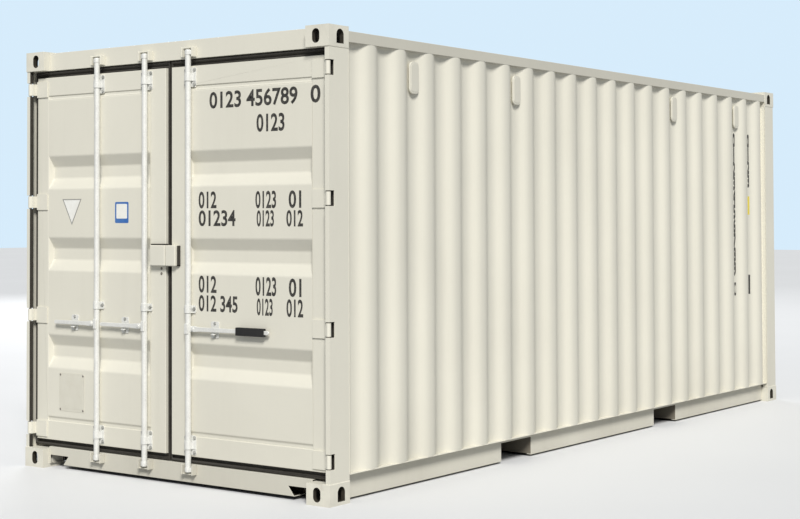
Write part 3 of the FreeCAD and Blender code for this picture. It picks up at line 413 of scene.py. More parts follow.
def softened(node, radius, finish, segments=2, inside=None, inside_finish=None):
    """A CAD node with its edges rounded as bent or ground steel is. It stands for the node.

    Faces for which inside(middle, direction) holds take the second finish.
    """
    piece = show(merged_copy(node), node + "_rounded")
    bevel = piece.modifiers.new("rounding", "BEVEL")
    bevel.width = radius
    bevel.segments = segments
    bevel.limit_method = "ANGLE"
    bevel.angle_limit = math.radians(30)
    bevel.use_clamp_overlap = True
    bevel.miter_outer = "MITER_ARC"
    settle(piece)
    finish_piece(piece, [finish, inside_finish] if inside else [finish], BODY_OF[node], 40)
    if inside:
        for polygon in piece.data.polygons:
            polygon.material_index = int(inside(polygon.center, polygon.normal))
    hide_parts(node)


def rounded_outline(width, height, radius, steps=5):
    """The points round a rectangle with round corners, centred on nothing."""
    points = []
    for quarter, (sx, sy) in enumerate(((1, 1), (-1, 1), (-1, -1), (1, -1))):
        for step in range(steps + 1):
            a = math.pi / 2 * (quarter + step / steps)
            points.append((sx * (width / 2 - radius) + radius * math.cos(a),
                           sy * (height / 2 - radius) + radius * math.sin(a)))
    return points


class Shape:
    """A mesh made of several solids, each added by its own call."""

    def __init__(self):
        self.bm = bmesh.new()

    def block(self, low, high, round_by=0.0, segments=2):
        """A block between two corners with rounded edges."""
        low, high = Vector(low), Vector(high)
        made = bmesh.ops.create_cube(self.bm, size=1.0)["verts"]
        size = high - low
        bmesh.ops.transform(self.bm, verts=made,
                            matrix=Matrix.Translation((low + high) / 2) @ Matrix.Diagonal((*size, 1)))
        if round_by:
            edges = dict.fromkeys(edge for vert in made for edge in vert.link_edges)
            bmesh.ops.bevel(self.bm, geom=list(edges), offset=min(round_by, min(size) * 0.45),
                            segments=segments, affect="EDGES", profile=0.5)

    def extruded(self, outline, push, round_by=0.0, segments=2):
        """A flat outline of points pushed along a vector."""
        push = Vector(push)
        start = [self.bm.verts.new(Vector(p)) for p in outline]
        end = [self.bm.verts.new(Vector(p) + push) for p in outline]
        count = len(outline)
        faces = [self.bm.faces.new(start), self.bm.faces.new(end[::-1])]
        for i in range(count):
            faces.append(self.bm.faces.new((start[i], end[i], end[(i + 1) % count],
                                            start[(i + 1) % count])))
        bmesh.ops.recalc_face_normals(self.bm, faces=faces)
        if round_by:
            edges = dict.fromkeys(edge for face in faces[:2] for edge in face.edges)
            bmesh.ops.bevel(self.bm, geom=list(edges), offset=round_by, segments=segments,
                            affect="EDGES", profile=0.5)

    def rounded_plate(self, axis, at, middle, size, radius, thick, ease=0.0, segments=2):
        """A plate with round corners that faces along x or y, from one place through a thickness."""
        points = [(at, middle[0] + u, middle[1] + v) if axis == "x" else
                  (middle[0] + u, at, middle[1] + v) for u, v in rounded_outline(*size, radius)]
        self.extruded(points, (thick, 0, 0) if axis == "x" else (0, thick, 0), ease, segments)

    def turned(self, profile, centre, axis="z", sides=32):
        """A profile of (radius, place along the axis) spun round it, closed at both ends."""
        centre = Vector(centre)
        rings = []
        for radius, along in profile:
            ring = []
            for step in range(sides):
                a = 2 * math.pi * step / sides
                u, v = radius * math.cos(a), radius * math.sin(a)
                offset = {"x": (along, u, v), "y": (v, along, u), "z": (u, v, along)}[axis]
                ring.append(self.bm.verts.new(centre + Vector(offset)))
            rings.append(ring)
        faces = []
        for ring, following in zip(rings, rings[1:]):
            for i in range(sides):
                j = (i + 1) % sides
                faces.append(self.bm.faces.new((ring[i], ring[j], following[j], following[i])))
        faces.append(self.bm.faces.new(rings[0][::-1]))
        faces.append(self.bm.faces.new(rings[-1]))
        bmesh.ops.recalc_face_normals(self.bm, faces=faces)

    def framed(self, inner, outer, profile):
        """A profile of (share from inner to outer, X) carried round a rectangle of (y, z) corners."""
        rings = []
        for (iy, iz), (oy, oz) in zip(inner, outer):
            rings.append([self.bm.verts.new((x, iy + (oy - iy) * share, iz + (oz - iz) * share))
                          for share, x in profile])
        faces = []
        count, around = len(profile), len(rings)
        for a in range(around):
            b = (a + 1) % around
            for i in range(count):
                j = (i + 1) % count
                faces.append(self.bm.faces.new((rings[a][i], rings[b][i], rings[b][j], rings[a][j])))
        bmesh.ops.recalc_face_normals(self.bm, faces=faces)

    def piece(self, name, finish, body, slot, replaces=(), smooth=35):
        """Ends the shape as one finished piece on its body."""
        bmesh.ops.recalc_face_normals(self.bm, faces=self.bm.faces)
        made = show(made_mesh(self.bm, name), name)
        finish_piece(made, [finish], body, smooth)
        for node in replaces:
            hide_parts(node)
        return made


# ---------------------------------------------------------------- geometry nodes

class Grower(Board):
    """A geometry node tree with named inputs. It ends in plain mesh with a material."""

    KINDS = {float: "NodeSocketFloat", int: "NodeSocketInt"}

    def __init__(self, name, sizes):
        tree = bpy.data.node_groups.new(name, "GeometryNodeTree")
        super().__init__(tree)
        tree.interface.new_socket("Places", in_out="INPUT", socket_type="NodeSocketGeometry")
        for title, size in sizes.items():
            socket = tree.interface.new_socket(title, in_out="INPUT",
                                               socket_type=self.KINDS[type(size)])
            socket.default_value = size
        tree.interface.new_socket("Finish", in_out="INPUT", socket_type="NodeSocketMaterial")
        tree.interface.new_socket("Result", in_out="OUTPUT", socket_type="NodeSocketGeometry")
        self.group = tree.nodes.new("NodeGroupInput")

    def given(self, title):
        return Socket(self, self.group.outputs[title])

    def close(self, instances, smooth=False):
        solid = self.add("GeometryNodeRealizeInstances", None, {0: instances})
        dressed = self.add("GeometryNodeSetMaterial", None,
                           {"Geometry": solid, "Material": self.given("Finish")})
        if smooth:
            dressed = self.add("GeometryNodeSetShadeSmooth", None, {"Geometry": dressed})
        out = self.tree.nodes.new("NodeGroupOutput")
        self.tree.links.new(dressed.socket, out.inputs["Result"])
        return self.tree

    def facing_turn(self, seed):
        """Turns each copy to its place's own facing, with a seeded spin about it."""
        facing = self.add("GeometryNodeInputNamedAttribute", {"data_type": "FLOAT_VECTOR"},
                          {"Name": "facing"})
        aimed = self.add("FunctionNodeAlignRotationToVector", {"axis": "Z"}, {"Vector": facing})
        spin = self.add("FunctionNodeRandomValue", {"data_type": "FLOAT"},
                        {"Min": 0.0, "Max": 6.283, "Seed": seed}, 1)
        about = self.add("FunctionNodeAxisAngleToRotation", None,
                         {"Axis": (0, 0, 1), "Angle": spin})
        return self.add("FunctionNodeRotateRotation", {"rotation_space": "LOCAL"},
                        {"Rotation": aimed, "Rotate By": about})


def bolt_head_tree():
    """Hexagon heads on washers."""
    g = Grower("hexagon_heads", {"Across": 0.010, "Height": 0.008, "Seed": 3})
    head = g.add("GeometryNodeMeshCone", {"fill_type": "NGON"},
                 {"Vertices": 6, "Radius Top": g.given("Across") * 0.94,
                  "Radius Bottom": g.given("Across"), "Depth": g.given("Height")})
    washer = g.add("GeometryNodeMeshCylinder", {"fill_type": "NGON"},
                   {"Vertices": 20, "Radius": g.given("Across") * 1.35,
                    "Depth": g.given("Height") * 0.5})
    lifted = g.add("GeometryNodeTransform", None,
                   {"Geometry": head, "Translation": g.add("ShaderNodeCombineXYZ", None,
                                                           {"Z": g.given("Height") * 0.2})})
    both = g.add("GeometryNodeJoinGeometry", None, {0: lifted})
    g.tree.links.new(washer.socket, both.socket.node.inputs[0])
    placed = g.add("GeometryNodeInstanceOnPoints", None,
                   {"Points": g.given("Places"), "Instance": both,
                    "Rotation": g.facing_turn(g.given("Seed"))})
    return g.close(placed)


def rivet_tree():
    """Low round heads."""
    g = Grower("round_heads", {"Radius": 0.004, "Rise": 0.002, "Seed": 5})
    ball = g.add("GeometryNodeMeshUVSphere", None, {"Segments": 12, "Rings": 6, "Radius": 1.0})
    size = g.add("ShaderNodeCombineXYZ", None,
                 {"X": g.given("Radius"), "Y": g.given("Radius"), "Z": g.given("Rise")})
    flat = g.add("GeometryNodeTransform", None, {"Geometry": ball, "Scale": size})
    placed = g.add("GeometryNodeInstanceOnPoints", None,
                   {"Points": g.given("Places"), "Instance": flat,
                    "Rotation": g.facing_turn(g.given("Seed"))})
    return g.close(placed, smooth=True)


def bead_tree():
    """Overlapping drops along lines, as a weld is laid."""
    g = Grower("weld_beads", {"Width": 0.004, "Pitch": 0.004, "Seed": 7})
    lines = g.add("GeometryNodeMeshToCurve", None, {"Mesh": g.given("Places")})
    walked = g.add("GeometryNodeResampleCurve", {"mode": "LENGTH"},
                   {"Curve": lines, "Length": g.given("Pitch")})
    drop = g.add("GeometryNodeMeshIcoSphere", None,
                 {"Radius": g.given("Width"), "Subdivisions": 1})
    along = g.add("GeometryNodeInputTangent")
    aimed = g.add("FunctionNodeAlignRotationToVector", {"axis": "Z"}, {"Vector": along})
    swell = g.add("FunctionNodeRandomValue", {"data_type": "FLOAT"},
                  {"Min": 0.82, "Max": 1.15, "Seed": g.given("Seed")}, 1)
    size = g.add("ShaderNodeCombineXYZ", None, {"X": swell, "Y": swell, "Z": 0.8})
    placed = g.add("GeometryNodeInstanceOnPoints", None,
                   {"Points": walked, "Instance": drop, "Rotation": aimed, "Scale": size})
    return g.close(placed, smooth=True)


def louvre_tree():
    """A column of flat blades."""
    g = Grower("vent_blades", {"Width": 0.07, "Depth": 0.004, "Thick": 0.006, "Seed": 1})
    blade = g.add("GeometryNodeMeshCube", None,
                  {"Size": g.add("ShaderNodeCombineXYZ", None,
                                 {"X": g.given("Width"), "Y": g.given("Depth"),
                                  "Z": g.given("Thick")})})
    facing = g.add("GeometryNodeInputNamedAttribute", {"data_type": "FLOAT_VECTOR"},
                   {"Name": "facing"})
    aimed = g.add("FunctionNodeAlignRotationToVector", {"axis": "Y"}, {"Vector": facing})
    placed = g.add("GeometryNodeInstanceOnPoints", None,
                   {"Points": g.given("Places"), "Instance": blade, "Rotation": aimed})
    return g.close(placed)


HEXAGON_HEADS = bolt_head_tree()
ROUND_HEADS = rivet_tree()
WELD_BEADS = bead_tree()
VENT_BLADES = louvre_tree()


def grown(name, tree, sizes, finish, body, spots=(), lines=()):
    """Grows a tree's copies on spots (place, facing) or along lines of points, as plain mesh."""
    mesh = bpy.data.meshes.new(name)
    if lines:
        verts, edges = [], []
        for line in lines:
            start = len(verts)
            verts += [tuple(p) for p in line]
            edges += [(start + i, start + i + 1) for i in range(len(line) - 1)]
        mesh.from_pydata(verts, edges, [])
    else:
        mesh.from_pydata([tuple(place) for place, _ in spots], [], [])
        attribute = mesh.attributes.new("facing", "FLOAT_VECTOR", "POINT")
        for item, (_, facing) in zip(attribute.data, spots):
            item.vector = facing
    piece = show(mesh, name)
    modifier = piece.modifiers.new(name, "NODES")
    modifier.node_group = tree
    wanted = dict(sizes, Finish=finish)
    for item in tree.interface.items_tree:
        if item.in_out == "INPUT" and item.name in wanted:
            modifier[item.identifier] = wanted[item.name]
    settle(piece)
    finish_piece(piece, [finish], body, 30, even=False)


# ---------------------------------------------------------------- the box

def bent_line(points, ease, steps=5):
    """A line of (along, across) points with each corner drawn as an arc of equal tangents."""
    line = [Vector(points[0])]
    for before, corner_point, after in zip(points, points[1:], points[2:]):
        middle, back, on = Vector(corner_point), Vector(before), Vector(after)
        reach = min(ease, (back - middle).length / 2.05, (on - middle).length / 2.05)
        start = middle + (back - middle).normalized() * reach
        end = middle + (on - middle).normalized() * reach
        for step in range(steps + 1):
            t = step / steps
            line.append(start * (1 - t) ** 2 + middle * 2 * t * (1 - t) + end * t ** 2)
    line.append(Vector(points[-1]))
    return line


def skin_line(node, along, across, outward, depth):
    """The corners of a folded sheet's outer skin, read from the node, in order along it."""
    low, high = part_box(node)
    face = (high if outward > 0 else low)[across]
    places = {}
    for vert in NODES[node].data.vertices:
        if abs(vert.co.z - low.z) < 0.001:
            inward = (face - vert.co[across]) * outward
            if min(abs(inward), abs(inward - depth)) < 0.0004 or \
                    abs(vert.co[along] - low[along]) < 0.0004 or \
                    abs(vert.co[along] - high[along]) < 0.0004:
                key = round(vert.co[along], 4)
                places[key] = min(places.get(key, 1.0), inward)
    return [(key, face - outward * places[key]) for key in sorted(places)]


def folded_sheet(node, along, outward, depth, ease, name):
    """A pressed wall: its line of folds with soft bends, drawn up to its height, 2 mm thick."""
    low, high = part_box(node)
    across = 1 - along
    line = bent_line(skin_line(node, along, across, outward, depth), ease)
    levels = [low.z + (high.z - low.z) * step / 6 for step in range(7)]
    bm = bmesh.new()
    rows = []
    for z in levels:
        row = []
        for point in line:
            place = Vector((0, 0, z))
            place[along], place[across] = point
            row.append(bm.verts.new(place))
        rows.append(row)
    for lower, upper in zip(rows, rows[1:]):
        for i in range(len(line) - 1):
            bm.faces.new((lower[i], lower[i + 1], upper[i + 1], upper[i]))
    bm.faces.ensure_lookup_table()
    bm.normal_update()
    if sum(face.normal[across] for face in bm.faces) * outward < 0:
        bmesh.ops.reverse_faces(bm, faces=bm.faces)
    piece = show(made_mesh(bm, name), name)
    skin = piece.modifiers.new("skin", "SOLIDIFY")
    skin.thickness = 0.002
    skin.offset = -1
    settle(piece)
    finish_piece(piece, [cream_wall], "container", 50, even=False)
    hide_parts(node)


def steel_shell():
    """Castings, posts, beams, rails, walls and roof, with rolled and ground edges."""
    def within_casting(node):
        """Says which faces lie deeper in a casting than its outer skin."""
        low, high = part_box(node)

        def test(middle, _):
            x, y, z = abs(middle.x), abs(middle.y), middle.z
            return min(high.x - x, x - (high.x - CASTING_LENGTH), high.y - y,
                       y - (high.y - CASTING_WIDTH), high.z - z, z - low.z) > 0.0075
        return test

    def beside_nose(middle, way):
        """True for the side of a door post's nose that the seal lies against."""
        return (abs(abs(middle.y) - NOSE_INNER_FACE) < 0.0015 and middle.x < NOSE_BACK
                and way.y * middle.y < 0)

    sill_low, sill_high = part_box("door_sill")

    def within_notch(middle, way):
        """True for the ceiling and back of the sill's notches."""
        return (sill_low.x + 0.006 < middle.x < sill_high.x - 0.003 and middle.z < 0.120
                and abs(way.y) < 0.4)

    # Faces inside the castings' holes take the near-black painted shade
    for node in ("bottom_corner_fittings", "top_corner_fittings"):
        softened(node, 0.005, cream_fitting, 3, inside=within_casting(node),
                 inside_finish=hollow_painted_shade)
    softened("door_corner_posts", 0.003, cream, inside_finish=seal,
             inside=beside_nose)
    softened("front_corner_posts", 0.004, cream)
    softened("door_header", 0.004, cream, 3)
    # The ceiling and back of the sill's notches take the same painted shade
    softened("door_sill", 0.004, cream_sill_dirt_and_shade, 3, inside_finish=hollow_painted_shade,
             inside=within_notch)
    for node, radius, finish, segments in (("front_top_rail", 0.005, cream, 2),
                                           ("front_bottom_rail", 0.004, cream_rail, 2),
                                           ("side_top_rails", 0.006, cream_top_rail_dirt_and_shade, 3),
                                           ("side_bottom_rails", 0.003, cream_rail, 2)):
        softened(node, radius, finish, segments)
    folded_sheet("left_side_wall", 0, LEFT, WALL_DEPTH, WALL_BEND, "left_wall_sheet")
    folded_sheet("right_side_wall", 0, RIGHT, WALL_DEPTH, WALL_BEND, "right_wall_sheet")
    folded_sheet("front_wall", 1, 1, FRONT_DEPTH, WALL_BEND, "front_wall_sheet")
    roof = show(merged_copy("roof_panel", 0.02), "roof_sheet")
    finish_piece(roof, [cream_roof], "container", 12, even=False)
    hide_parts("roof_panel")
    for node, radius, finish, slot, segments in (
            ("fork_pockets", 0.003, pocket_coat_and_shade, "cream_paint", 2),
            ("header_keepers", 0.003, cream, "cream_paint", 3),
            ("sill_keepers", 0.003, cream_sill_dirt_and_shade, "cream_paint", 3),
            ("floor_boards", 0.0015, boards, "floor_plywood", 1),
            ("floor_crossmembers", 0.002, bitumen, "underside_paint", 1),
            ("hinge_pins", 0.001, pin_steel, "pin_steel", 1)):
        softened(node, radius, finish, segments)


def vents():
    """Round-ended covers on a neck, each with a rolled rim, fine ribs and two rivets."""
    low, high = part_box("ventilators")
    _, wall_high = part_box("left_side_wall")
    tall, middle = high.z - low.z, (high.z + low.z) / 2
    shape = Shape()
    rivets, blades = [], []
    for side in (LEFT, RIGHT):
        front = high.y * side
        sheet = (wall_high.y - WALL_DEPTH) * side
        for count in (-8, -4, 4, 8):
            x = WALL_SHIFT + count * WALL_PITCH
            shape.rounded_plate("y", front - side * 0.014, (x, middle), (0.090, tall), 0.030,
                                side * 0.012, 0.004, 3)
            shape.rounded_plate("y", front - side * 0.004, (x, middle), (0.070, tall - 0.024), 0.022,
                                side * 0.004, 0.0015)
            shape.rounded_plate("y", sheet, (x, middle), (0.056, tall - 0.040), 0.018,
                                front - side * 0.013 - sheet, 0.001)
            rivets += [((x, front - side * 0.001, middle + lift), (0, side, 0))
                       for lift in (0.072, -0.072)]
            blades += [((x, front - side * 0.0012, middle - 0.050 + row * 0.0125), (0, side, 0))
                       for row in range(9)]
    shape.piece("vent_covers", vent_plastic, "container", "vent_paint", ["ventilators"])
    grown("vent_rivets", ROUND_HEADS, {"Radius": 0.004, "Rise": 0.001}, vent_plastic, "container",
          spots=rivets)
    grown("vent_ribs", VENT_BLADES, {"Width": 0.052, "Depth": 0.002, "Thick": 0.004},
          vent_plastic, "container", spots=blades)


def shell_welds():
    """Beads where the castings, posts, rails and walls meet."""
    _, casting_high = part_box("bottom_corner_fittings")
    top_low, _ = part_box("top_corner_fittings")
    rail_low, rail_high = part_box("side_top_rails")
    end, side_face = casting_high.x, casting_high.y
    inner_x, inner_y = end - CASTING_LENGTH, side_face - CASTING_WIDTH
    lines = []
    for sx in (-1, 1):
        for sy in (LEFT, RIGHT):
            face = sy * (side_face - 0.003)
            for z in (casting_high.z, top_low.z):
                x_out = sx * (end - 0.004)
                lines.append([(sx * inner_x, face, z), (x_out, face, z),
                              (x_out, sy * (side_face - 0.05 if sx < 0 else inner_y), z)])
            rail = sy * side_face - sy * 0.0035
            lines.append([(sx * inner_x, rail, rail_low.z), (sx * inner_x, rail, rail_high.z)])
    for sy in (LEFT, RIGHT):
        post = sy * (side_face - 0.004)
        for sx in (-1, 1):
            lines.append([(sx * inner_x, post, casting_high.z + 0.04),
                          (sx * inner_x, post, rail_low.z)])
    grown("corner_weld_beads", WELD_BEADS, {"Width": 0.0035, "Pitch": 0.0045}, cream_bead, "container",
          lines=lines)


def floor_screws():
    """Rows of countersunk screws over each crossmember."""
    flange, row_step, rows = 0.045, 0.216, 11
    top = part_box("floor_boards")[1].z
    edges = sorted({round(v.co.x, 4) for v in NODES["floor_crossmembers"].data.vertices})
    starts = [x for x in edges if any(abs(x + flange - other) < 0.0006 for other in edges)]
    spots = [((x + 0.022, -1.08 + step * row_step, top + 0.0002), (0, 0, 1))
             for x in starts for step in range(rows)]
    grown("floor_screws", ROUND_HEADS, {"Radius": 0.007, "Rise": 0.0008}, galvanised_dark, "container",
          spots=spots)


# ---------------------------------------------------------------- the doors

def pressed_panel(leaf):
    """The sheet between the frame members: one skin with three dished recesses, folded round."""
    node = leaf + "_door_panel"
    low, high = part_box(node)
    _, frame_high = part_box(leaf + "_door_frame")
    front = low.x
    recesses = [(frame_high.z - drop - RECESS_HEIGHT, frame_high.z - drop) for drop in RECESS_DROPS]
    levels = [(low.z, EDGE_SETBACK), (low.z + EDGE, EDGE_SETBACK), (low.z + EDGE + EDGE_SETBACK, 0)]
    levels += [(z, 0) for recess in recesses for z in recess]
    levels += [(high.z - EDGE - EDGE_SETBACK, 0), (high.z - EDGE, EDGE_SETBACK),
               (high.z, EDGE_SETBACK)]
    margin, end_slope = 0.004, 0.009
    columns = (low.y, low.y + margin, high.y - margin, high.y)
    bm = bmesh.new()
    weight = bm.edges.layers.float.new("bevel_weight_edge")
    grid = [[bm.verts.new((front + back, y, z)) for y in columns] for z, back in levels]
    dished = {levels.index((recess[0], 0)) for recess in recesses}
    for band, (lower, upper) in enumerate(zip(grid, grid[1:])):
        for column in range(3):
            ring = (lower[column], upper[column], upper[column + 1], lower[column + 1])
            if column != 1 or band not in dished:
                bm.faces.new(ring)
                continue
            z_low, z_high = levels[band][0] + RECESS_SLOPE, levels[band + 1][0] - RECESS_SLOPE
            bed = [bm.verts.new((front + RECESS_DEPTH, y, z))
                   for y, z in ((columns[1] + end_slope, z_low), (columns[1] + end_slope, z_high),
                                (columns[2] - end_slope, z_high), (columns[2] - end_slope, z_low))]
            for i in range(4):
                bm.faces.new((ring[i], ring[(i + 1) % 4], bed[(i + 1) % 4], bed[i]))
            bm.faces.new(bed)
    bmesh.ops.recalc_face_normals(bm, faces=bm.faces)
    bm.faces.ensure_lookup_table()
    if bm.faces[0].normal.x > 0:
        bmesh.ops.reverse_faces(bm, faces=bm.faces)
    for edge in bm.edges:
        if len(edge.link_faces) == 2 and edge.calc_face_angle() > math.radians(5):
            upright = abs(edge.verts[0].co.z - edge.verts[1].co.z) > 0.03
            edge[weight] = 0.4 if upright else 1.0
    panel = show(made_mesh(bm, node + "_skin"), leaf + "_door_pressing")
    bend = panel.modifiers.new("bend", "BEVEL")
    bend.limit_method = "WEIGHT"
    bend.width = 0.007
    bend.segments = 4
    bend.use_clamp_overlap = False
    skin = panel.modifiers.new("skin", "SOLIDIFY")
    skin.thickness = 0.003
    skin.offset = -1
    settle(panel)
    finish_piece(panel, [cream], BODY_OF[node], 45)
    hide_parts(node)


def heads(name, spots, body, across=0.0085, height=0.006, finish=None):
    """Hexagon heads on washers."""
    grown(name, HEXAGON_HEADS, {"Across": across, "Height": height}, finish or galvanised_dark, body,
          spots=spots)


def bar_brackets(leaf, bars):
    """Base plates, a strap pressed over each bar, and hexagon heads."""
    node = leaf + "_bar_brackets"
    low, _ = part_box(node)
    leaf_low, leaf_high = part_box(leaf + "_door_frame")
    face, body = leaf_low.x, BODY_OF[node]
    plate, strap, half = 0.004, 0.004, 0.022
    shape = Shape()
    spots = []
    for bar in bars:
        x, y, _ = JOINTS[bar + "_bar_turn"]["pos_m"]
        outside, inside = x - low.x, 0.0176

        def over_bar(radius):
            return [(x - radius * math.sin(a), -radius * math.cos(a))
                    for a in (math.pi * i / 14 for i in range(15))]

        for level, tall in ((leaf_low.z + 0.068, 0.112), (HANDLE_LEVEL + 0.113, 0.044),
                            (leaf_high.z - 0.066, 0.112)):
            shape.rounded_plate("x", face, (y, level), (0.092, tall), 0.010, -plate, 0.001)
            base = face - plate
            path = [(base, -0.044), (base - strap, -0.044), (base - strap, -outside)]
            path += over_bar(outside)
            path += [(base - strap, outside), (base - strap, 0.044), (base, 0.044), (base, inside)]
            path += over_bar(inside)[::-1]
            path.append((base, -inside))
            shape.extruded([(px, y + py, level - half) for px, py in path], (0, 0, 2 * half))
            if tall > 0.1:
                spots += [((base, y + a, level + b), (-1, 0, 0))
                          for a in (-0.034, 0.034) for b in (-0.042, 0.042)]
            else:
                spots += [((base - strap, y + a, level), (-1, 0, 0)) for a in (-0.034, 0.034)]
    shape.piece(leaf + "_bar_straps", galvanised, body, "bar_galvanised", [node])
    heads(leaf + "_strap_bolts", spots, body)


def lever(name, side):
    """Forged lever that narrows to a round tip, on a pivot with a hexagon head."""
    node = name + "_handle"
    low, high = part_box(node)
    x, y, _ = JOINTS[name + "_bar_turn"]["pos_m"]
    front = x - 0.0003 - LEVER_THICK
    pivot, tip = y + side * 0.044, (high.y if side == LEFT else low.y)
    end, neck, half_neck = tip - side * LEVER_TIP_RADIUS, pivot + side * 0.060, 0.0125

    def half_round(middle, radius, start):
        turns = (start + math.pi * step / 12 for step in range(13))
        return [(middle + side * radius * math.cos(a), HANDLE_LEVEL + radius * math.sin(a))
                for a in turns]

    outline = half_round(pivot, LEVER_ROOT_RADIUS, math.pi / 2)
    outline.append((neck, HANDLE_LEVEL - half_neck))
    outline += half_round(end, LEVER_TIP_RADIUS, -math.pi / 2)
    outline.append((neck, HANDLE_LEVEL + half_neck))
    shape = Shape()
    shape.extruded([(front, u, v) for u, v in outline], (LEVER_THICK, 0, 0), 0.0025, 3)
    shape.turned([(0.0079, front + 0.004), (0.0079, high.x)], (0, pivot, HANDLE_LEVEL), "x", 24)
    shape.turned([(0.0125, front + 0.001), (0.0125, front - 0.0015)], (0, pivot, HANDLE_LEVEL), "x", 24)
    hexagon = [(front - 0.001, pivot + 0.0095 * math.cos(math.pi * i / 3),
                HANDLE_LEVEL + 0.0095 * math.sin(math.pi * i / 3)) for i in range(6)]
    shape.extruded(hexagon, (low.x - front + 0.001, 0, 0), 0.0008)
    shape.piece(name + "_lever", galvanised, BODY_OF[node], "bar_galvanised", [node])


def retainers(leaf, places):
    """Plates with a rounded shelf under each lever, a gusset and two bolts."""
    node = leaf + "_handle_retainers"
    low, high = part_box(node)
    face, body = high.x, BODY_OF[node]
    shelf_top = HANDLE_LEVEL - 0.017 - 0.005
    shape = Shape()
    spots = []
    for y in places:
        shape.rounded_plate("x", face, (y, HANDLE_LEVEL), (0.060, 0.096), 0.010, -0.005, 0.001)
        outline = [(face, y - 0.015, shelf_top), (low.x + 0.006, y - 0.015, shelf_top),
                   (low.x, y - 0.009, shelf_top), (low.x, y + 0.009, shelf_top),
                   (low.x + 0.006, y + 0.015, shelf_top), (face, y + 0.015, shelf_top)]
        shape.extruded(outline, (0, 0, -0.006), 0.001)
        shape.extruded([(face - 0.004, y - 0.0025, shelf_top - 0.005),
                        (low.x + 0.008, y - 0.0025, shelf_top - 0.005),
                        (face - 0.004, y - 0.0025, shelf_top - 0.026)], (0, 0.005, 0))
        spots += [((face - 0.005, y, HANDLE_LEVEL + lift), (-1, 0, 0)) for lift in (0.036, -0.038)]
    shape.piece(leaf + "_lever_rests", galvanised, body, "bar_galvanised", [node])
    heads(leaf + "_lever_rest_bolts", spots, body, 0.0075, 0.005)


def lock_cover(leaf, side):
    """Half of the pressed cover over the seam. Strips of black seal rubber along its far edge, over the left
    half's top and as a hook under the right half are painted shadow in the gaps round the cover.
    """
    node = leaf + "_lock_cover"
    low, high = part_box(node)
    face, body = high.x, BODY_OF[node]
    seam = SEAM + side * 0.0025
    far = high.y if side == LEFT else low.y
    rim = 0.008 if side == LEFT else 0.014
    shape = Shape()
    inner, outer = sorted((seam, far - side * rim))
    shape.block((low.x, inner, low.z), (face, outer, high.z - 0.008), 0.006, 3)
    shape.piece(leaf + "_lock_cover_pressing", cream, body, "cream_paint", [node])
    # Painted shadow: black rubber strips where the gaps round the cover lie in shade
    shadow_strips = Shape()
    inner, outer = sorted((far, far - side * (rim + 0.002)))
    shadow_strips.block((face - 0.016, inner, low.z), (face, outer, high.z - 0.010), 0.002)
    if side == LEFT:
        shadow_strips.block((face - 0.016, seam, high.z - 0.010), (face, far, high.z), 0.002)
    else:
        shadow_strips.block((face - 0.016, far, low.z), (face, far + 0.040, low.z + 0.008), 0.002)
    shadow_strips.piece(leaf + "_lock_cover_edging", seal, body, "seal_rubber")


def door_leaf(side_name, side):
    """One leaf: its tubes, sheet, hinge blades, lever rests, lock cover, bar straps and seal."""
    softened(side_name + "_door_frame", 0.0035, cream, 3)
    pressed_panel(side_name)
    softened(side_name + "_door_hinges", 0.0025, cream, 2)
    retainers(side_name, (0.816, 0.378) if side == LEFT else (-0.351,))
    lock_cover(side_name, side)
    bar_brackets(side_name, ("left_outer", "left_inner") if side == LEFT else ("right",))
    gasket(side_name)


def gasket(side_name):
    """Extruded seal: a flange against the leaf, a groove and a rounded lip that meets the posts."""
    low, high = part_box(side_name + "_door_gasket")
    leaf_low, leaf_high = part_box(side_name + "_door_frame")
    inner = [(leaf_low.y, leaf_low.z), (leaf_high.y, leaf_low.z),
             (leaf_high.y, leaf_high.z), (leaf_low.y, leaf_high.z)]
    outer = [(low.y, low.z), (high.y, low.z), (high.y, high.z), (low.y, high.z)]
    front, back = low.x, high.x
    depth = back - front
    profile = [(0.0, back), (0.0, front + 0.2 * depth), (0.18, front + 0.12 * depth),
               (0.30, front + 0.30 * depth), (0.42, front + 0.34 * depth),
               (0.55, front + 0.18 * depth), (0.68, front + 0.03 * depth), (0.82, front),
               (0.94, front + 0.06 * depth), (1.0, front + 0.20 * depth),
               (1.0, front + 0.42 * depth), (0.90, front + 0.52 * depth),
               (0.90, front + 0.66 * depth), (1.0, front + 0.78 * depth), (1.0, back)]
    shape = Shape()
    shape.framed(inner, outer, profile)
    shape.piece(side_name + "_door_seal", seal, side_name + "_door", "seal_rubber",
                [side_name + "_door_gasket"], smooth=50)


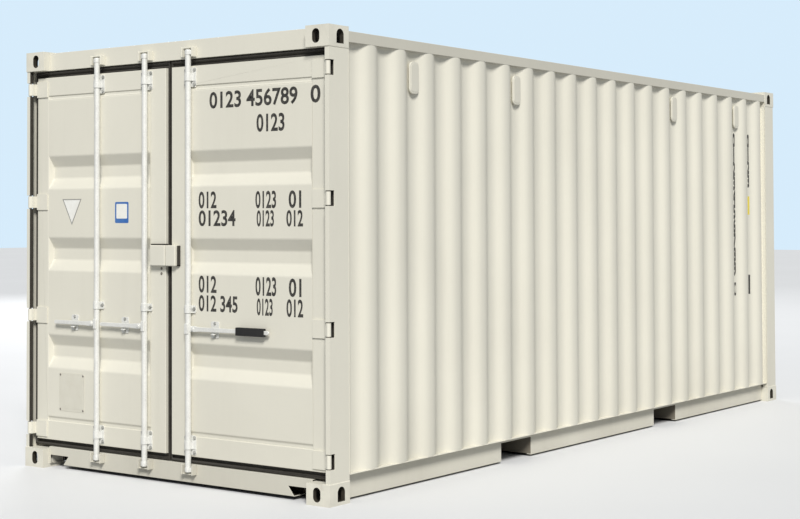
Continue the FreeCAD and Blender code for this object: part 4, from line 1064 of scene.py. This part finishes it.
def bar_shape(name, side):
    """Round tube with flared collars, a forged cam at each end and the handle's hub."""
    node = name + "_locking_bar"
    low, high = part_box(node)
    x, y, _ = JOINTS[name + "_bar_turn"]["pos_m"]
    radius = BAR_RADIUS
    shape = Shape()
    shape.turned([(radius * 0.8, low.z), (radius, low.z + 0.003), (radius, high.z - 0.003),
                  (radius * 0.8, high.z)], (x, y, 0), sides=BAR_SIDES)
    for base in (low.z + 0.004, high.z - 0.030):
        shape.turned([(0.0185, base), (0.020, base + 0.002), (0.020, base + 0.024),
                      (0.0185, base + 0.026)], (x, y, 0), sides=BAR_SIDES)
        tip = y + side * 0.0285
        outline = [(x - 0.012, y, base), (x - 0.012, tip - side * 0.012, base),
                   (x - 0.007, tip - side * 0.003, base), (x, tip, base),
                   (x + 0.007, tip - side * 0.003, base), (x + 0.012, tip - side * 0.012, base),
                   (x + 0.012, y, base)]
        shape.extruded(outline, (0, 0, 0.026), 0.002)
    shape.block((x - radius - 0.005, y - 0.013, HANDLE_LEVEL - 0.030),
                (x, y + 0.013, HANDLE_LEVEL + 0.030), 0.004, 3)
    far = y + side * 0.062
    y_low, y_high = sorted((y, far))
    shape.block((x, y_low, HANDLE_LEVEL - 0.017), (x + 0.008, y_high, HANDLE_LEVEL + 0.017), 0.003, 3)
    for z in (HANDLE_LEVEL + 0.131, HANDLE_LEVEL + 0.095):
        shape.turned([(radius, z - 0.006), (radius + 0.004, z - 0.004), (radius + 0.004, z + 0.004),
                      (radius, z + 0.006)], (x, y, 0), sides=BAR_SIDES)
    shape.piece(name + "_bar", galvanised, BODY_OF[node], "bar_galvanised", [node], smooth=40)


# ---------------------------------------------------------------- marks, films and plate

def figures(name, text, low, high, at, facing, body, stack=False):
    """Sprayed figures that fill a field between two (across, up) corners on a flat face."""
    letters = bpy.data.curves.new(name, "FONT")
    letters.body = "\n".join(text) if stack else text
    letters.align_x = "CENTER"
    letters.offset = 0.055 if stack else 0.022
    letters.space_line = 0.80
    letters.resolution_u = 4
    written = show(letters, name + "_letters")
    bpy.context.view_layer.update()
    graph = bpy.context.evaluated_depsgraph_get()
    mesh = bpy.data.meshes.new_from_object(written.evaluated_get(graph), depsgraph=graph)
    bpy.data.objects.remove(written)
    xs = [vert.co.x for vert in mesh.vertices]
    ys = [vert.co.y for vert in mesh.vertices]
    for vert in mesh.vertices:
        u = (vert.co.x - min(xs)) / (max(xs) - min(xs))
        v = (vert.co.y - min(ys)) / (max(ys) - min(ys))
        across = low[0] + (high[0] - low[0]) * u
        up = low[1] + (high[1] - low[1]) * v
        skin = -abs(at) - 0.0006
        vert.co = (skin, across, up) if facing == "x" else (across, skin, up)
    mesh.name = name
    finish_piece(show(mesh, name), [marking], body, even=False)


def film_patch(name, outline, at, facing, thick, finish, body):
    """A thin film cut to an outline of (across, up) points, laid on a flat face."""
    shape = Shape()
    points = [(at, u, v) if facing == "x" else (u, at, v) for u, v in outline]
    shape.extruded(points, (-thick, 0, 0) if facing == "x" else (0, -thick, 0))
    shape.piece(name, finish, body, "cream_paint")


def marks():
    """Plain figures and blank films where a container carries its marks, and a blank plate."""
    leaf_low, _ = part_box("right_door_frame")
    face = leaf_low.x
    fields = (("row_high", "0123 456789", (-0.305, 2.173), (-0.962, 2.271)),
              ("row_high_last", "0", (-1.054, 2.173), (-1.124, 2.271)),
              ("row_low", "0123", (-0.663, 2.028), (-0.868, 2.129)),
              ("word_a", "012", (-0.220, 1.602), (-0.359, 1.700)),
              ("word_b", "01234", (-0.220, 1.500), (-0.505, 1.592)),
              ("count_a", "0123", (-0.654, 1.600), (-0.806, 1.698)),
              ("count_b", "0123", (-0.663, 1.498), (-0.790, 1.590)),
              ("unit_a", "01", (-0.897, 1.600), (-0.987, 1.698)),
              ("unit_b", "012", (-0.880, 1.498), (-0.999, 1.590)),
              ("word_c", "012", (-0.220, 1.118), (-0.359, 1.217)),
              ("word_d", "012 345", (-0.220, 1.011), (-0.520, 1.105)),
              ("count_c", "0123", (-0.654, 1.112), (-0.806, 1.218)),
              ("count_d", "0123", (-0.663, 1.002), (-0.780, 1.098)),
              ("unit_c", "01", (-0.897, 1.112), (-0.987, 1.214)),
              ("unit_d", "012", (-0.880, 1.001), (-0.999, 1.100)))
    for title, text, low, high in fields:
        figures("door_figures_" + title, text, low, high, face, "x", "right_door")
    bed = abs(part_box("right_side_wall")[0].y) - WALL_DEPTH
    column = WALL_SHIFT + 8 * WALL_PITCH
    figures("wall_figures_long", "0123456789", (column - 0.030, 1.062), (column + 0.030, 2.223), bed,
            "y", "container", stack=True)
    figures("wall_figures_last", "0", (column - 0.030, 0.905), (column + 0.030, 1.015), bed, "y",
            "container")
    column += WALL_PITCH
    figures("wall_figures_short", "0123", (column - 0.028, 1.785), (column + 0.028, 2.225), bed,
            "y", "container", stack=True)
    for title, low, high, finish in (("wall_yellow_film", 1.562, 1.712, yellow_film),
                                     ("wall_dark_film", 0.908, 1.066, marking)):
        film_patch(title, [(column - 0.035, low), (column + 0.035, low), (column + 0.035, high),
                           (column - 0.035, high)], -bed, "y", 0.0008, finish, "container")
    film_patch("door_triangle_rim", [(0.764, 1.668), (0.936, 1.668), (0.850, 1.507)], face, "x",
               0.0005, rim_film, "left_door")
    film_patch("door_triangle", [(0.776, 1.661), (0.924, 1.661), (0.850, 1.522)], face, "x",
               0.0009, white_film, "left_door")
    film_patch("door_blue_film", [(u + 0.4115, v + 1.5825) for u, v in
                                  rounded_outline(0.115, 0.127, 0.008)], face, "x", 0.0005,
               blue_film, "left_door")
    film_patch("door_blue_film_field", [(u + 0.4115, v + 1.590) for u, v in
                                        rounded_outline(0.091, 0.088, 0.006)], face, "x", 0.0009,
               white_film, "left_door")
    plate = Shape()
    plate.rounded_plate("x", face, (0.848, 0.475), (0.226, 0.236), 0.010, -0.0015, 0.0005)
    plate.rounded_plate("x", face - 0.0015, (0.848, 0.475), (0.190, 0.200), 0.006, -0.0006, 0.0003)
    plate.piece("door_blank_plate", plate_metal, "left_door", "bar_galvanised")
    grown("door_plate_rivets", ROUND_HEADS, {"Radius": 0.0070, "Rise": 0.0025}, pin_steel,
          "left_door",
          spots=[((face - 0.0018, 0.848 + a, 0.475 + b), (-1, 0, 0))
                 for a in (-0.101, 0.101) for b in (-0.106, 0.106)])
    heads("seam_bolts", [((face, 0.078, z), (-1, 0, 0)) for z in (1.222, 1.252)], "left_door",
          0.006, 0.004, pin_steel)
    grown("leaf_edge_stud", ROUND_HEADS, {"Radius": 0.007, "Rise": 0.003}, pin_steel, "right_door",
          spots=[((face, -1.137, 0.897), (-1, 0, 0))])


def scene_floor():
    """A wide pale floor that gives back less light than it shows, so that folds keep their shade."""
    bm = bmesh.new()
    bmesh.ops.create_grid(bm, x_segments=2, y_segments=2, size=60)
    floor = show(made_mesh(bm, "studio_floor"), "studio_floor")
    f = Finish("studio_floor")
    seen = f.mix(tone(222, 223, 225), tone(228, 229, 231), f.noise(0.4, 3.0))
    shade = f.mix(tone(168, 168, 168), seen, f.add("ShaderNodeLightPath"))
    floor.data.materials.append(f.shade(Base_Color=shade, Roughness=0.65 + f.noise(3.0) * 0.1))


def camera():
    """A long view from beyond the door end, level with a standing eye."""
    yaw, pitch, roll = (math.radians(a) for a in (36.825, 1.532, -0.196))
    ahead = Vector((math.cos(pitch) * math.cos(yaw), math.cos(pitch) * math.sin(yaw), math.sin(pitch)))
    right = ahead.cross(Vector((0, 0, 1))).normalized()
    up = right.cross(ahead)
    turned_right = right * math.cos(roll) + up * math.sin(roll)
    turned_up = up * math.cos(roll) - right * math.sin(roll)
    lens = bpy.data.cameras.new("camera")
    lens.sensor_width = 36
    lens.lens = 69.88
    lens.shift_x = 0.0307
    lens.shift_y = -0.1036
    lens.clip_end = 200
    eye = bpy.data.objects.new("camera", lens)
    bpy.context.scene.collection.objects.link(eye)
    eye.matrix_world = Matrix(((turned_right.x, turned_up.x, -ahead.x, -9.5399),
                               (turned_right.y, turned_up.y, -ahead.y, -6.4062),
                               (turned_right.z, turned_up.z, -ahead.z, 1.5432),
                               (0, 0, 0, 1)))
    bpy.context.scene.camera = eye


def light(name, kind, place, target, power, colour=(1, 1, 1), **settings):
    """A lamp of a kind that looks from a place towards a target."""
    lamp = bpy.data.lights.new(name, kind)
    lamp.energy = power
    lamp.color = colour
    for setting, given in settings.items():
        setattr(lamp, setting, given)
    holder = bpy.data.objects.new(name, lamp)
    bpy.context.scene.collection.objects.link(holder)
    holder.location = place
    holder.rotation_euler = (Vector(target) - Vector(place)).to_track_quat("-Z", "Y").to_euler()


def studio():
    """A pale room, a large soft key light that falls evenly along the length, and a back light."""
    world = bpy.data.worlds.new("studio")
    bpy.context.scene.world = world
    world.use_nodes = True
    world.node_tree.nodes.clear()
    room = Board(world.node_tree)
    glow = room.add("ShaderNodeBackground", None, {"Color": (0.84, 0.92, 1.0, 1), "Strength": 0.34})
    wall = room.add("ShaderNodeBackground", None, {"Color": (0.68, 0.84, 0.97, 1), "Strength": 1.0})
    seen = room.add("ShaderNodeLightPath")
    both = room.add("ShaderNodeMixShader", None, {0: seen, 1: glow, 2: wall})
    room.add("ShaderNodeOutputWorld", None, {"Surface": both})
    light("key", "SUN", (-17.2, -15.4, 20.3), (0, 0, 1.2), 3.55, (1.0, 0.975, 0.93),
          angle=math.radians(17))
    light("back", "AREA", (12.0, 14.0, 9.0), (0, 0, 1.0), 900, shape="RECTANGLE", size=8.0,
          size_y=8.0)
    bpy.context.scene.view_settings.view_transform = "Standard"


steel_shell()
vents()
shell_welds()
floor_screws()
for leaf, leaf_side in (("left", LEFT), ("right", RIGHT)):
    door_leaf(leaf, leaf_side)
for bar, bar_side in (("left_outer", LEFT), ("left_inner", LEFT), ("right", RIGHT)):
    bar_shape(bar, bar_side)
    lever(bar, bar_side)
softened("right_handle_grip", 0.004, grip, 3)
marks()
scene_floor()
camera()
studio()
